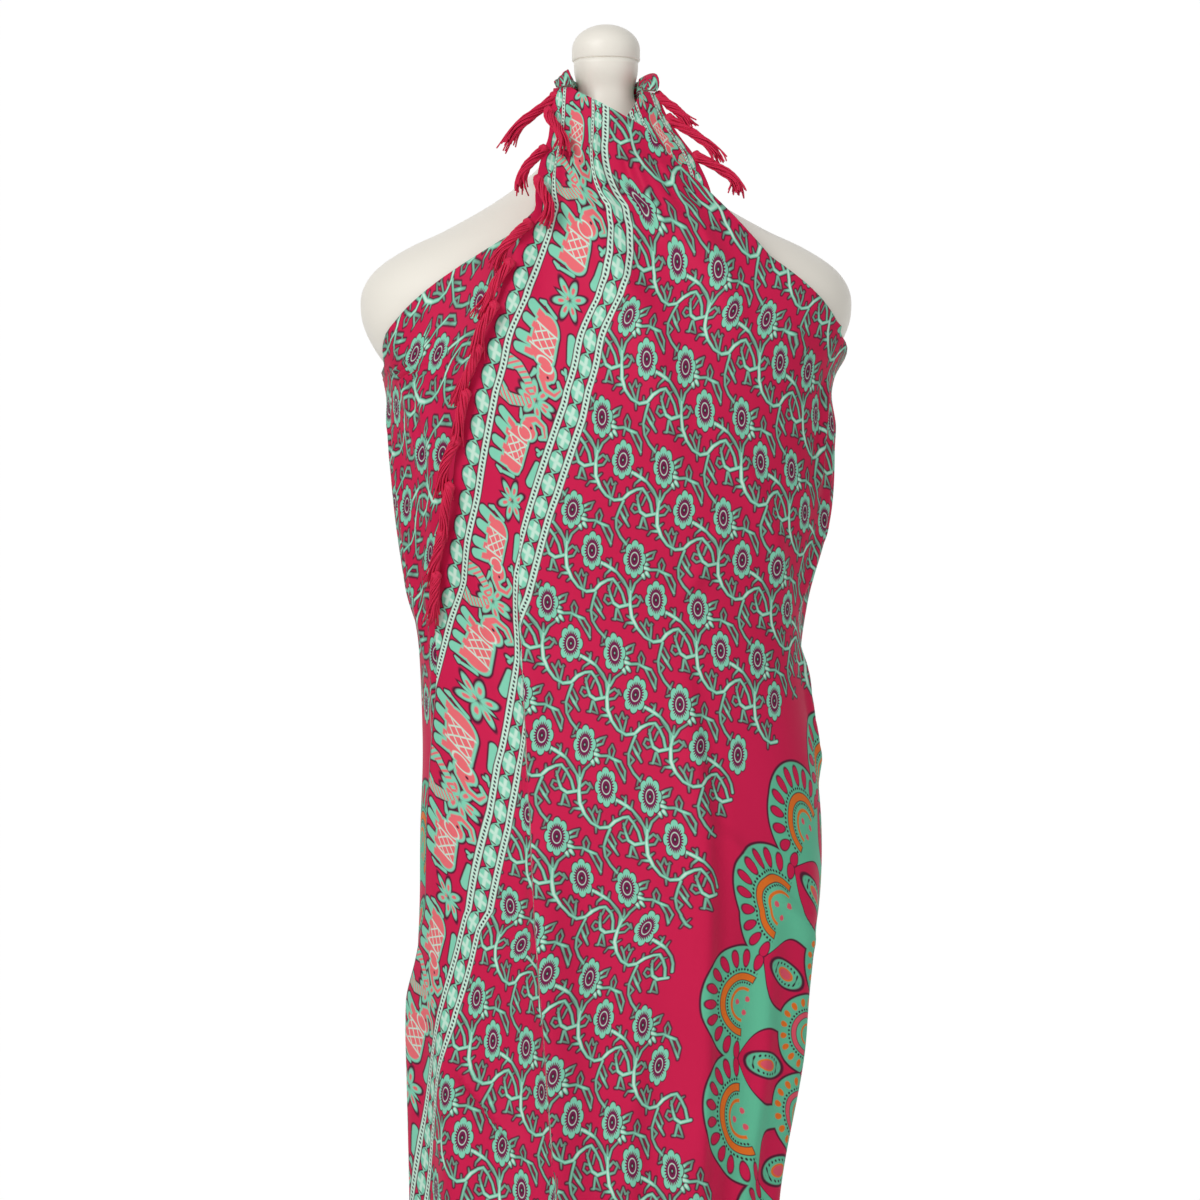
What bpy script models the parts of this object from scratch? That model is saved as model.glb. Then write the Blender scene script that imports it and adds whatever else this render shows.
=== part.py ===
"""A sarong tied as a halter wrap on a limbless dress form.

Metres, +Z up. The front faces -Y and the viewer's right is +X. The origin is the
centre of the stand's underside. One rectangle of cloth is wound round the form: its
middle is at the back, its two ends cross in front and its two upper corners are
knotted behind the neck.
"""
from math import cos, pi, radians, sin, tau

import bpy
import numpy as np

# The cloth as worn: half widths to the viewer's left and right, and depths to the front
# and back, of the layer that lies on the form.
CLOTH_SECTIONS = {
    "height": (0.10, 0.30, 0.508, 0.638, 0.699, 0.769, 0.830, 0.891, 0.943, 0.995,
               1.030, 1.099, 1.178, 1.222, 1.256, 1.300, 1.350, 1.400, 1.440, 1.475),
    "left": (0.150, 0.149, 0.153, 0.156, 0.158, 0.161, 0.161, 0.159, 0.160, 0.163,
             0.169, 0.179, 0.187, 0.194, 0.210, 0.206, 0.168, 0.108, 0.066, 0.046),
    "right": (0.138, 0.134, 0.136, 0.160, 0.166, 0.177, 0.179, 0.174, 0.166, 0.161,
              0.163, 0.181, 0.186, 0.190, 0.208, 0.206, 0.168, 0.108, 0.066, 0.046),
    "front": (0.112, 0.110, 0.108, 0.112, 0.117, 0.120, 0.121, 0.117, 0.112, 0.109,
              0.111, 0.122, 0.132, 0.131, 0.126, 0.115, 0.099, 0.081, 0.065, 0.051),
    "back": (0.112, 0.110, 0.106, 0.112, 0.118, 0.124, 0.125, 0.116, 0.100, 0.091,
             0.090, 0.096, 0.104, 0.106, 0.105, 0.090, 0.070, 0.050, 0.042, 0.040),
}
SECTION_POWER = 2.15
WALL = 0.0015
SEAM_GAP = 0.0003
LAYER_STEP = 0.008
SIDE_SEAM = 100.0
SEAM_RADIUS = 0.080

# The dress form, a closed shell of plain sections.
FORM_SECTIONS = {
    "height": (0.690, 0.769, 0.830, 0.891, 0.943, 0.995, 1.030, 1.099, 1.178, 1.205,
               1.222, 1.240, 1.262, 1.280, 1.300, 1.318, 1.335, 1.350, 1.378, 1.408,
               1.439, 1.469, 1.488, 1.498),
    "half": (0.146, 0.149, 0.149, 0.147, 0.147, 0.149, 0.151, 0.164, 0.172, 0.176,
             0.180, 0.196, 0.2085, 0.2130, 0.2110, 0.1980, 0.172, 0.140, 0.092, 0.056,
             0.034, 0.0242, 0.0276, 0.0280),
    "front": (0.105, 0.108, 0.109, 0.105, 0.100, 0.097, 0.099, 0.110, 0.119, 0.118,
              0.116, 0.112, 0.108, 0.103, 0.098, 0.092, 0.085, 0.079, 0.064, 0.048,
              0.034, 0.0250, 0.0285, 0.0290),
    "back": (0.106, 0.112, 0.113, 0.104, 0.088, 0.079, 0.078, 0.084, 0.092, 0.093,
             0.092, 0.088, 0.084, 0.080, 0.076, 0.071, 0.066, 0.062, 0.055, 0.045,
             0.034, 0.0250, 0.0285, 0.0290),
}
FORM_POWER = 2.2
FORM_SEGMENTS = 36
CAP_RADIUS = 0.0296
CAP_RIM = 0.0100
CAP_DOME = 0.0220
POLE_RADIUS = 0.0160
BASE_RADIUS = 0.170
BASE_THICKNESS = 0.014
BASE_COLLAR_RADIUS = 0.028
BASE_COLLAR_TOP = 0.055

# The cloth's edges on the worn shape: height and place across, as seen from the front.
OVER_TOP_EDGE = {"height": (1.256, 1.320, 1.378, 1.386, 1.432, 1.454, 1.468),
                 "across": (0.195, 0.135, 0.082, 0.073, 0.030, -0.005, -0.026)}
OVER_SHORT_EDGE = {"height": (0.769, 0.891, 1.012, 1.117, 1.204, 1.282, 1.308, 1.334,
                              1.360, 1.421, 1.468),
                   "across": (-0.147, -0.143, -0.136, -0.124, -0.110, -0.087, -0.078,
                              -0.067, -0.056, -0.044, -0.036)}
UNDER_TOP_EDGE = {"height": (1.230, 1.291, 1.339, 1.378, 1.432, 1.466),
                  "across": (-0.190, -0.153, -0.079, -0.043, 0.008, 0.030)}
UNDER_SHORT_EDGE = {"height": (0.856, 1.030, 1.204, 1.352, 1.413, 1.466),
                    "across": (0.135, 0.112, 0.098, 0.088, 0.073, 0.043)}
# Where the short edges run round the sides, low down: height and angle from the front.
OVER_SHORT_LOW = {"height": (0.460, 0.570, 0.682), "angle": (-118.0, -104.0, -84.0)}
UNDER_SHORT_LOW = {"height": (0.460, 0.600, 0.730), "angle": (104.0, 88.0, 68.0)}
ARMPIT_RIGHT = 1.225
ARMPIT_LEFT = 1.218
BACK_TOP = 1.212
HEM_BACK = 0.217
HEM_CORNER = 0.460
HEM_SWEEP = 298.0
HEM_POWER = 1.28
LEVEL_ROWS_END = 0.56

# Folds: the ends of each fold's line as angle from the front and height, its half width
# and its height outwards. The first table moves every layer, the others one layer.
SHARED_FOLDS = (
    # angle_top, top, angle_low, low, half_width, height
    (16.0, 1.00, 36.0, 0.20, 0.030, 0.010),
    (-18.0, 0.90, -10.0, 0.20, 0.020, 0.012),
    (-52.0, 0.74, -46.0, 0.20, 0.026, 0.011),
    (66.0, 0.84, 74.0, 0.20, 0.024, 0.012),
    (108.0, 0.80, 104.0, 0.20, 0.024, 0.013),
    (140.0, 0.88, 134.0, 0.20, 0.028, 0.014),
    (171.0, 0.78, 168.0, 0.20, 0.026, 0.015),
    (202.0, 0.86, 205.0, 0.20, 0.027, 0.013),
    (238.0, 0.80, 242.0, 0.20, 0.024, 0.013),
    (276.0, 0.78, 280.0, 0.20, 0.022, 0.010),
    (82.0, 1.21, 78.0, 1.02, 0.009, 0.006),
    (94.0, 1.21, 96.0, 0.98, 0.010, 0.006),
    (108.0, 1.21, 118.0, 1.02, 0.012, 0.005),
    (-78.0, 1.20, -70.0, 0.96, 0.010, 0.005),
    (-96.0, 1.20, -98.0, 1.00, 0.011, 0.006),
    (160.0, 1.19, 148.0, 0.98, 0.014, 0.004),
    (198.0, 1.19, 212.0, 0.98, 0.014, 0.004),
)
OVER_FOLDS = (
    (-15.0, 1.430, 6.0, 1.265, 0.009, 0.005),
    (-4.0, 1.400, 18.0, 1.134, 0.011, 0.004),
    (12.0, 1.425, 30.0, 1.240, 0.011, 0.004),
    (-30.0, 1.430, -15.0, 1.265, 0.008, 0.004),
    (20.0, 1.204, 62.0, 1.030, 0.010, 0.003),
    (18.0, 0.861, 72.0, 0.730, 0.009, 0.003),
)
UNDER_FOLDS = (
    (-62.0, 1.28, -40.0, 1.05, 0.010, 0.003),
    (-50.0, 1.18, -58.0, 0.90, 0.012, 0.003),
)
FOLD_RADIUS = 0.150

PANEL_ROWS_TOP = 11
PANEL_ROWS_MIDDLE = 13
PANEL_ROWS_LOW = 6
OVER_COLUMNS = 28
UNDER_COLUMNS = 18
BACK_COLUMNS = 24

# The ties round the neck, the knot and the two tails behind it.
TIE_HEIGHT = 1.473
TIE_HALF_WIDTH = 0.010
TIE_HALF_THICKNESS = 0.0040
TIE_SIDES = 12
TIE_CLEARANCE = 0.0014
KNOT_PLACE = (0.0, 0.0388, 1.4640)
KNOT_RADII = (0.0170, 0.0115, 0.0150)
TAIL_LENGTH = 0.135
TAIL_TOP_WIDTH = 0.012
TAIL_END_WIDTH = 0.056
TAIL_APART = 0.0080
TAIL_BEHIND = 0.0040
TAIL_SPREAD = 0.034
TAIL_LEAN = 0.037
TAIL_WALL = 0.0020
TAIL_EDGE = 0.0006
TAIL_WAVES = 2.5
TAIL_WAVE_HEIGHT = 0.0035

# The fringe: knotted tassels along the cloth's short edges.
OVER_TASSELS = tuple(1.455 - 0.038 * count for count in range(12))
UNDER_TASSELS = (1.446, 1.408)
TAIL_TASSELS = (1.404, 1.366, 1.328)
TASSEL_LENGTH = 0.033
TASSEL_REACH = 0.006
STRAND_COLUMNS = 2
STRAND_WIDTH = 0.0026
# A strand's rings: how far it has turned down in degrees, the part of its straight fall,
# and its thickness and the strands' distance apart, both against those at the root.
STRAND_RINGS = ((45.0, 0.0, 0.84, 1.0), (90.0, 0.0, 0.80, 1.15), (90.0, 1.0, 0.62, 1.70))
STRIP_GAP = 0.0009
STRIP_WIDTH = 0.0024
STRIP_THICKNESS = 0.0030
STRIP_OVERHANG = 0.007
STRIP_STEPS = 4
ROOT_SIDES = (2, 3)


def remove_everything():
    """Empty the scene that the script is run in."""
    for thing in list(bpy.data.objects):
        bpy.data.objects.remove(thing, do_unlink=True)


def material(name, colour, roughness, metallic=0.0):
    """A Principled material with one colour."""
    made = bpy.data.materials.new(name)
    made.use_nodes = True
    shader = made.node_tree.nodes["Principled BSDF"]
    shader.inputs["Base Color"].default_value = (*colour, 1.0)
    shader.inputs["Roughness"].default_value = roughness
    shader.inputs["Metallic"].default_value = metallic
    return made


def smooth_step(value):
    """Ease a number from 0 to 1."""
    value = min(max(value, 0.0), 1.0)
    return value * value * (3.0 - 2.0 * value)


def eased(table, column, height):
    """Read a table's column at a height, along a smooth curve through its rows."""
    heights = table["height"]
    values = table[column]
    if height <= heights[0]:
        return values[0]
    if height >= heights[-1]:
        return values[-1]
    row = int(np.searchsorted(heights, height)) - 1
    row = max(row, 0)

    def slope(at):
        low = max(at - 1, 0)
        high = min(at + 1, len(heights) - 1)
        return (values[high] - values[low]) / (heights[high] - heights[low])

    span = heights[row + 1] - heights[row]
    part = (height - heights[row]) / span
    square = part * part
    cube = square * part
    start = (2.0 * cube - 3.0 * square + 1.0) * values[row]
    end = (3.0 * square - 2.0 * cube) * values[row + 1]
    bend = (cube - 2.0 * square + part) * slope(row) + (cube - square) * slope(row + 1)
    return start + end + bend * span


def signed_power(value, power):
    """A power that keeps the number's sign."""
    return abs(value) ** power * (1.0 if value >= 0.0 else -1.0)


def section_point(angle, height):
    """A point of the worn shape: angle in degrees from the front, towards +X."""
    turn = radians(angle)
    across = signed_power(sin(turn), 2.0 / SECTION_POWER)
    along = signed_power(-cos(turn), 2.0 / SECTION_POWER)
    half = eased(CLOTH_SECTIONS, "right" if across > 0.0 else "left", height)
    depth = eased(CLOTH_SECTIONS, "back" if along > 0.0 else "front", height)
    return np.array((across * half, along * depth, height))


def angle_of(across, height):
    """The angle at which the front of the worn shape is that far across."""
    half = eased(CLOTH_SECTIONS, "right" if across > 0.0 else "left", height)
    part = min(abs(across) / half, 1.0) ** (SECTION_POWER / 2.0)
    return np.degrees(np.arcsin(part)) * (1.0 if across >= 0.0 else -1.0)


def edge_table(across_table, low_table=None, armpit=None):
    """An edge as height and angle, from places across and from angles low down."""
    rows = []
    if low_table:
        rows += list(zip(low_table["height"], low_table["angle"]))
    if armpit:
        rows += armpit
    for height, across in zip(across_table["height"], across_table["across"]):
        rows.append((height, angle_of(across, height)))
    return {"height": tuple(row[0] for row in rows), "angle": tuple(row[1] for row in rows)}


def edge_angle(table, height):
    """An edge's angle at a height, straight between the table's rows."""
    return float(np.interp(height, table["height"], table["angle"]))


def hem_height(angle, layer):
    """The hem's height, which rises along the cloth from the middle of the back."""
    from_back = abs(180.0 + angle) if layer == "under" else abs(180.0 - angle)
    return HEM_BACK + (HEM_CORNER - HEM_BACK) * (from_back / HEM_SWEEP) ** HEM_POWER


def fold_lift(folds, angle, height):
    """How far the folds of one table push the cloth outwards."""
    lift = 0.0
    for angle_top, top, angle_low, low, half_width, rise in folds:
        if not low - 0.03 < height < top + 0.03:
            continue
        part = (top - height) / (top - low)
        line = angle_top + (angle_low - angle_top) * min(max(part, 0.0), 1.0)
        gap = (angle - line + 180.0) % 360.0 - 180.0
        off = radians(gap) * FOLD_RADIUS / half_width
        grow = smooth_step((part + 0.02) * 4.0)
        fade = 1.0 if low < 0.3 else smooth_step((1.04 - part) * 4.0)
        lift += rise * grow * fade * float(np.exp(-off * off))
    return lift


def outwards(angle, height):
    """The level direction that points out of the worn shape."""
    step = 0.5
    ahead = section_point(angle + step, height)
    behind = section_point(angle - step, height)
    along = ahead - behind
    out = np.array((along[1], -along[0], 0.0))
    return out / np.linalg.norm(out)


def layer_lift(angle, layer):
    """How far out a stretch lies. The back goes over from one layer to the other."""
    if layer == "over":
        return LAYER_STEP
    if layer == "under":
        return 0.0
    return LAYER_STEP * smooth_step((360.0 - SIDE_SEAM - angle) / (360.0 - 2.0 * SIDE_SEAM))


def cloth_lift(angle, height, layer):
    """How far a stretch stands out of the worn shape, with all its folds."""
    lift = layer_lift(angle, layer) + fold_lift(SHARED_FOLDS, angle, height)
    if layer == "over":
        lift += fold_lift(OVER_FOLDS, angle, height)
    if layer == "under":
        lift += fold_lift(UNDER_FOLDS, angle, height)
    return lift


def cloth_point(angle, height, layer):
    """A point in the middle of the cloth's wall."""
    lift = cloth_lift(angle, height, layer)
    return section_point(angle, height) + outwards(angle, height) * lift


def mesh_object(name, points, faces, look, smooth=True):
    """A named object from points and faces."""
    mesh = bpy.data.meshes.new(name)
    mesh.from_pydata([tuple(float(c) for c in point) for point in points], [], faces)
    mesh.validate()
    mesh.update()
    if smooth:
        mesh.shade_smooth()
        mesh.set_sharp_from_angle(angle=radians(40.0))
    thing = bpy.data.objects.new(name, mesh)
    thing.data.materials.append(look)
    bpy.context.scene.collection.objects.link(thing)
    return thing


def grid_normals(grid):
    """Unit normals at a grid's points, from its two directions."""
    down = np.gradient(grid, axis=0)
    along = np.gradient(grid, axis=1)
    normals = np.cross(down, along)
    length = np.linalg.norm(normals, axis=2, keepdims=True)
    return normals / np.maximum(length, 1e-12)


def wall_from_grid(name, grid, look, wall=WALL, outside=1.0):
    """A thin closed wall on both sides of a grid of points."""
    rows, columns = grid.shape[:2]
    normals = grid_normals(grid) * outside
    front = (grid + normals * wall / 2.0).reshape(-1, 3)
    rear = (grid - normals * wall / 2.0).reshape(-1, 3)
    count = rows * columns
    faces = []
    for row in range(rows - 1):
        for column in range(columns - 1):
            first = row * columns + column
            quad = (first, first + columns, first + columns + 1, first + 1)
            faces.append(quad)
            faces.append(tuple(corner + count for corner in reversed(quad)))
    rim = [row * columns for row in range(rows)]
    rim += [(rows - 1) * columns + column for column in range(1, columns)]
    rim += [row * columns + columns - 1 for row in range(rows - 2, -1, -1)]
    rim += [column for column in range(columns - 2, 0, -1)]
    for place, corner in enumerate(rim):
        following = rim[(place + 1) % len(rim)]
        faces.append((following, corner, corner + count, following + count))
    if outside < 0.0:
        faces = [tuple(reversed(face)) for face in faces]
    return mesh_object(name, np.concatenate((front, rear)), faces, look)


def row_heights(top, armpit):
    """Heights of a front panel's rows from its top to where the hem takes over."""
    upper = np.linspace(top, armpit, PANEL_ROWS_TOP + 1)
    middle = np.linspace(armpit, LEVEL_ROWS_END, PANEL_ROWS_MIDDLE + 1)
    return list(upper) + list(middle[1:])


def panel_grid(heights, edges, columns, layer):
    """A stretch of cloth between two edges, ended by the slanting hem."""
    rows = []
    for height in heights:
        first, last = edges(height)
        angles = np.linspace(first, last, columns + 1)
        rows.append([cloth_point(angle, height, layer) for angle in angles])
    for step in range(1, PANEL_ROWS_LOW + 1):
        part = step / PANEL_ROWS_LOW
        first, last = edges(LEVEL_ROWS_END)
        low_first, low_last = edges(HEM_CORNER)
        first += (low_first - first) * part
        last += (low_last - last) * part
        row = []
        for angle in np.linspace(first, last, columns + 1):
            height = LEVEL_ROWS_END + (hem_height(angle, layer) - LEVEL_ROWS_END) * part
            row.append(cloth_point(angle, height, layer))
        rows.append(row)
    return np.array(rows)


SEAM_TURN = np.degrees(SEAM_GAP / SEAM_RADIUS)
OVER_TOP = edge_table(OVER_TOP_EDGE, armpit=[(ARMPIT_RIGHT, SIDE_SEAM), (1.240, 84.0)])
OVER_SHORT = edge_table(OVER_SHORT_EDGE, OVER_SHORT_LOW)
UNDER_TOP = edge_table(UNDER_TOP_EDGE, armpit=[(ARMPIT_LEFT, -SIDE_SEAM)])
UNDER_SHORT = edge_table(UNDER_SHORT_EDGE, UNDER_SHORT_LOW)


def over_edges(height):
    """The over panel's short edge and its top edge or side seam."""
    far = edge_angle(OVER_TOP, height) if height > ARMPIT_RIGHT else SIDE_SEAM
    return edge_angle(OVER_SHORT, height), far - SEAM_TURN


def under_edges(height):
    """The under panel's side seam or top edge, and its short edge."""
    near = edge_angle(UNDER_TOP, height) if height > ARMPIT_LEFT else -SIDE_SEAM
    return near + SEAM_TURN, edge_angle(UNDER_SHORT, height)


def back_grid():
    """The back stretch, from the right side seam round to the left one."""
    first = SIDE_SEAM + SEAM_TURN
    last = 360.0 - SIDE_SEAM - SEAM_TURN
    angles = np.linspace(first, last, BACK_COLUMNS + 1)
    rows = []
    for step in range(PANEL_ROWS_MIDDLE + PANEL_ROWS_LOW + 1):
        part = min(step / PANEL_ROWS_MIDDLE, 1.0)
        low_part = max(step - PANEL_ROWS_MIDDLE, 0) / PANEL_ROWS_LOW
        row = []
        for angle in angles:
            side = (angle - first) / (last - first)
            level = ARMPIT_RIGHT + (ARMPIT_LEFT - ARMPIT_RIGHT) * side
            top = level + (BACK_TOP - level) * sin(pi * side)
            height = top + (LEVEL_ROWS_END - top) * part
            height += (hem_height(angle, "back") - LEVEL_ROWS_END) * low_part
            row.append(cloth_point(angle, height, "back"))
        rows.append(row)
    return np.array(rows)


def loft(name, rings, look, smooth=True):
    """A closed solid through rings of equally many points, ends filled."""
    count = len(rings[0])
    points = [point for ring in rings for point in ring]
    faces = []
    for level in range(len(rings) - 1):
        for place in range(count):
            following = (place + 1) % count
            low = level * count
            high = low + count
            faces.append((low + place, low + following, high + following, high + place))
    faces.append(tuple(reversed(range(count))))
    last = (len(rings) - 1) * count
    faces.append(tuple(range(last, last + count)))
    return mesh_object(name, points, faces, look, smooth)


def round_ring(radius, height, count, centre=(0.0, 0.0)):
    """A level circle of points, anticlockwise from above."""
    turns = [tau * place / count for place in range(count)]
    return [(centre[0] + radius * cos(t), centre[1] + radius * sin(t), height) for t in turns]


def form_ring(height, grow=0.0):
    """One section of the dress form, anticlockwise from above."""
    half = eased(FORM_SECTIONS, "half", height) + grow
    ring = []
    for place in range(FORM_SEGMENTS):
        turn = tau * place / FORM_SEGMENTS
        side = "back" if sin(turn) > 0.0 else "front"
        depth = eased(FORM_SECTIONS, side, height) + grow
        power = 2.0 / FORM_POWER
        ring.append((signed_power(cos(turn), power) * half,
                     signed_power(sin(turn), power) * depth, height))
    return ring


def build_form(look):
    """The torso with its shoulders and neck, and the round cap on the neck."""
    heights = FORM_SECTIONS["height"]
    levels = []
    for low, high in zip(heights, heights[1:]):
        levels.append(low)
        if high - low > 0.025:
            levels.append((low + high) / 2.0)
    levels.append(heights[-1])
    rings = [form_ring(heights[0], -0.012)]
    rings += [form_ring(level + 0.004 if level == heights[0] else level) for level in levels]
    loft("form_body", rings, look)
    cap_bottom = heights[-1] + SEAM_GAP
    rings = [round_ring(CAP_RADIUS - 0.001, cap_bottom, 32),
             round_ring(CAP_RADIUS, cap_bottom + 0.001, 32),
             round_ring(CAP_RADIUS, cap_bottom + CAP_RIM, 32)]
    for step in range(1, 7):
        turn = pi / 2.0 * step / 7.0
        rings.append(round_ring(CAP_RADIUS * cos(turn),
                                cap_bottom + CAP_RIM + CAP_DOME * sin(turn), 32))
    loft("form_cap", rings, look)


def build_stand(look):
    """The round base with its collar, and the pole up to the form's underside."""
    edge = 0.003
    rings = [round_ring(BASE_RADIUS, 0.0, 48),
             round_ring(BASE_RADIUS, BASE_THICKNESS - edge, 48),
             round_ring(BASE_RADIUS - edge, BASE_THICKNESS, 48),
             round_ring(BASE_COLLAR_RADIUS + 0.006, BASE_THICKNESS + 0.004, 48),
             round_ring(BASE_COLLAR_RADIUS, BASE_THICKNESS + 0.012, 48),
             round_ring(BASE_COLLAR_RADIUS, BASE_COLLAR_TOP, 48)]
    loft("stand_base", rings, look)
    pole_top = FORM_SECTIONS["height"][0] - SEAM_GAP
    rings = [round_ring(POLE_RADIUS, BASE_COLLAR_TOP + SEAM_GAP, 24),
             round_ring(POLE_RADIUS, pole_top, 24)]
    loft("stand_pole", rings, look)


def tube(name, path, across, thick, look, upright):
    """An oval tube along a path. across and thick are half sizes at each point."""
    path = np.array(path)
    tangents = np.gradient(path, axis=0)
    rings = []
    for point, tangent, wide, narrow, up in zip(path, tangents, across, thick, upright):
        tangent = tangent / np.linalg.norm(tangent)
        side = np.array(up) - tangent * np.dot(up, tangent)
        side = side / np.linalg.norm(side)
        other = np.cross(tangent, side)
        ring = []
        for place in range(TIE_SIDES):
            turn = tau * place / TIE_SIDES
            ring.append(point + side * wide * cos(turn) + other * narrow * sin(turn))
        rings.append(ring)
    return loft(name, rings, look)


def tie_path(start, direction):
    """Points from a panel's upper end, round the neck's side to the knot."""
    neck = max(eased(FORM_SECTIONS, "half", TIE_HEIGHT + part * TIE_HALF_WIDTH)
               for part in (-0.8, 0.0, 0.8))
    reach = neck + TIE_HALF_THICKNESS + TIE_CLEARANCE
    path = [start, start + np.array((direction * 0.001, 0.005, 0.008))]
    for turn in np.linspace(-12.0, 68.0, 7):
        path.append(np.array((direction * reach * cos(radians(turn)),
                              reach * sin(radians(turn)), TIE_HEIGHT)))
    return path


def build_ties(look, over, under):
    """The gathered corners on both sides of the neck, with the knot and its tails."""
    for name, grid, direction in (("tie_left", over, -1.0), ("tie_right", under, 1.0)):
        start = grid[0].mean(axis=0) + np.array((0.0, 0.0, SEAM_GAP + 0.0012))
        path = tie_path(start, direction)
        count = len(path)
        wide = np.interp(range(count), (0, 2, count - 1), (0.0050, TIE_HALF_WIDTH, 0.0095))
        narrow = np.interp(range(count), (0, 2), (0.0008, TIE_HALF_THICKNESS))
        upright = [(1.0, 0.0, 0.0)] * 1 + [(0.6, 0.0, 0.8)] + [(0.0, 0.0, 1.0)] * (count - 2)
        tube(name, path, wide, narrow, look, upright)
    rings = []
    for step in range(1, 10):
        turn = -pi / 2.0 + pi * step / 10.0
        level = KNOT_PLACE[2] + KNOT_RADII[2] * sin(turn)
        swell = cos(turn)
        rings.append([(KNOT_PLACE[0] + KNOT_RADII[0] * swell * cos(t),
                       KNOT_PLACE[1] + KNOT_RADII[1] * swell * sin(t), level)
                      for t in (tau * place / 20 for place in range(20))])
    loft("nape_knot", rings, look)


def tail_grid(direction):
    """A tail of gathered cloth that widens downwards behind the neck."""
    top = np.array((direction * TAIL_APART, KNOT_PLACE[1] + TAIL_BEHIND,
                    KNOT_PLACE[2] - KNOT_RADII[2] * cos(pi / 10.0) - SEAM_GAP))
    rows = []
    for step in range(9):
        part = step / 8.0
        width = TAIL_TOP_WIDTH + (TAIL_END_WIDTH - TAIL_TOP_WIDTH) * part ** 0.8
        middle = top + np.array((direction * TAIL_SPREAD * part ** 0.9,
                                 TAIL_LEAN * smooth_step(part * 1.6),
                                 -TAIL_LENGTH * part))
        row = []
        for place in np.linspace(-0.5, 0.5, 13):
            wave = TAIL_WAVE_HEIGHT * part ** 0.5 * sin(tau * TAIL_WAVES * place + direction)
            row.append(middle + np.array((direction * width * place, wave, 0.008 * place * part)))
        rows.append(row)
    return np.array(rows)


def surface_place(edge, direction, layer):
    """A function that gives points beside a panel's short edge, a column of its grid.

    It takes the distance out from the edge, the height, and how far to stand proud.
    """
    rising = edge[::-1]

    def place(out, height, proud):
        across = float(np.interp(height, rising[:, 2], rising[:, 0]))
        target = across + direction * out
        angle = angle_of(target, height)
        for _ in range(4):
            lift = cloth_lift(angle, height, layer)
            angle = angle_of(target - outwards(angle, height)[0] * lift, height)
        raised = cloth_lift(angle, height, layer) + proud
        return section_point(angle, height) + outwards(angle, height) * raised
    return place


def tail_place(grid, direction):
    """A function that gives points beside a tail's outer edge."""
    edge = grid[:, -1][::-1]

    def place(out, height, proud):
        base = np.array([np.interp(height, edge[:, 2], edge[:, axis]) for axis in (0, 1)])
        return np.array((base[0] + direction * (out + TAIL_EDGE), base[1] + proud, height))
    return place


def build_fringe(name, place, handed, heights, look, seed):
    """Tassels that hang from a narrow strip beside an edge.

    The strip is a thin bar along the edge. At each tassel its outer side is divided into
    small faces, and each of these grows into one four-sided strand. handed is 1 where
    out, along and proud make a right-handed set, and -1 where they are mirrored.
    """
    numbers = np.random.default_rng(seed)
    stations = [heights[0] + STRIP_OVERHANG]
    starts = []
    for middle in heights:
        first = middle + STRAND_WIDTH * STRAND_COLUMNS / 2.0
        if starts:
            between = np.linspace(stations[-1], first, STRIP_STEPS + 1)
            stations += [float(height) for height in between[1:-1]]
        starts.append(len(stations))
        stations += [first - STRAND_WIDTH * column for column in range(STRAND_COLUMNS + 1)]
    stations.append(heights[-1] - STRIP_OVERHANG)
    half = STRIP_THICKNESS / 2.0
    near = STRIP_GAP
    far = STRIP_GAP + STRIP_WIDTH
    corners = ((near, -half), (near, half), (far, half), (far, 0.0), (far, -half))
    ring = len(corners)
    points = [place(out, height, proud) for height in stations for out, proud in corners]
    faces = [tuple(range(ring)), tuple(reversed(range((len(stations) - 1) * ring,
                                                      len(stations) * ring)))]
    roots = []
    for station in range(len(stations) - 1):
        low = station * ring
        for side in range(ring):
            following = (side + 1) % ring
            quad = (low + side, low + ring + side, low + ring + following, low + following)
            tassels = [tassel for tassel, start in enumerate(starts)
                       if start <= station < start + STRAND_COLUMNS]
            if side in ROOT_SIDES and tassels:
                roots.append((quad, heights[tassels[0]]))
            else:
                faces.append(quad)
    for quad, middle in roots:
        corner_heights = [stations[corner // ring] - middle for corner in quad]
        corner_proud = [corners[corner % ring][1] for corner in quad]
        mid_height = sum(corner_heights) / 4.0
        mid_proud = sum(corner_proud) / 4.0
        length = TASSEL_LENGTH * numbers.uniform(0.95, 1.05)
        previous = quad
        for turn, fall, slim, spread in STRAND_RINGS:
            first = len(points)
            for height, proud in zip(corner_heights, corner_proud):
                level = mid_height * spread + (height - mid_height) * slim
                side_way = mid_proud * spread + (proud - mid_proud) * slim
                bend = TASSEL_REACH + level
                points.append(place(far + bend * sin(radians(turn)),
                                    middle - TASSEL_REACH + bend * cos(radians(turn))
                                    - (length - TASSEL_REACH) * fall, side_way))
            current = tuple(range(first, first + 4))
            for side in range(4):
                following = (side + 1) % 4
                faces.append((previous[side], previous[following],
                              current[following], current[side]))
            previous = current
        faces.append(previous)
    if handed < 0.0:
        faces = [tuple(reversed(face)) for face in faces]
    return mesh_object(name, points, faces, look, smooth=False)


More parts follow.
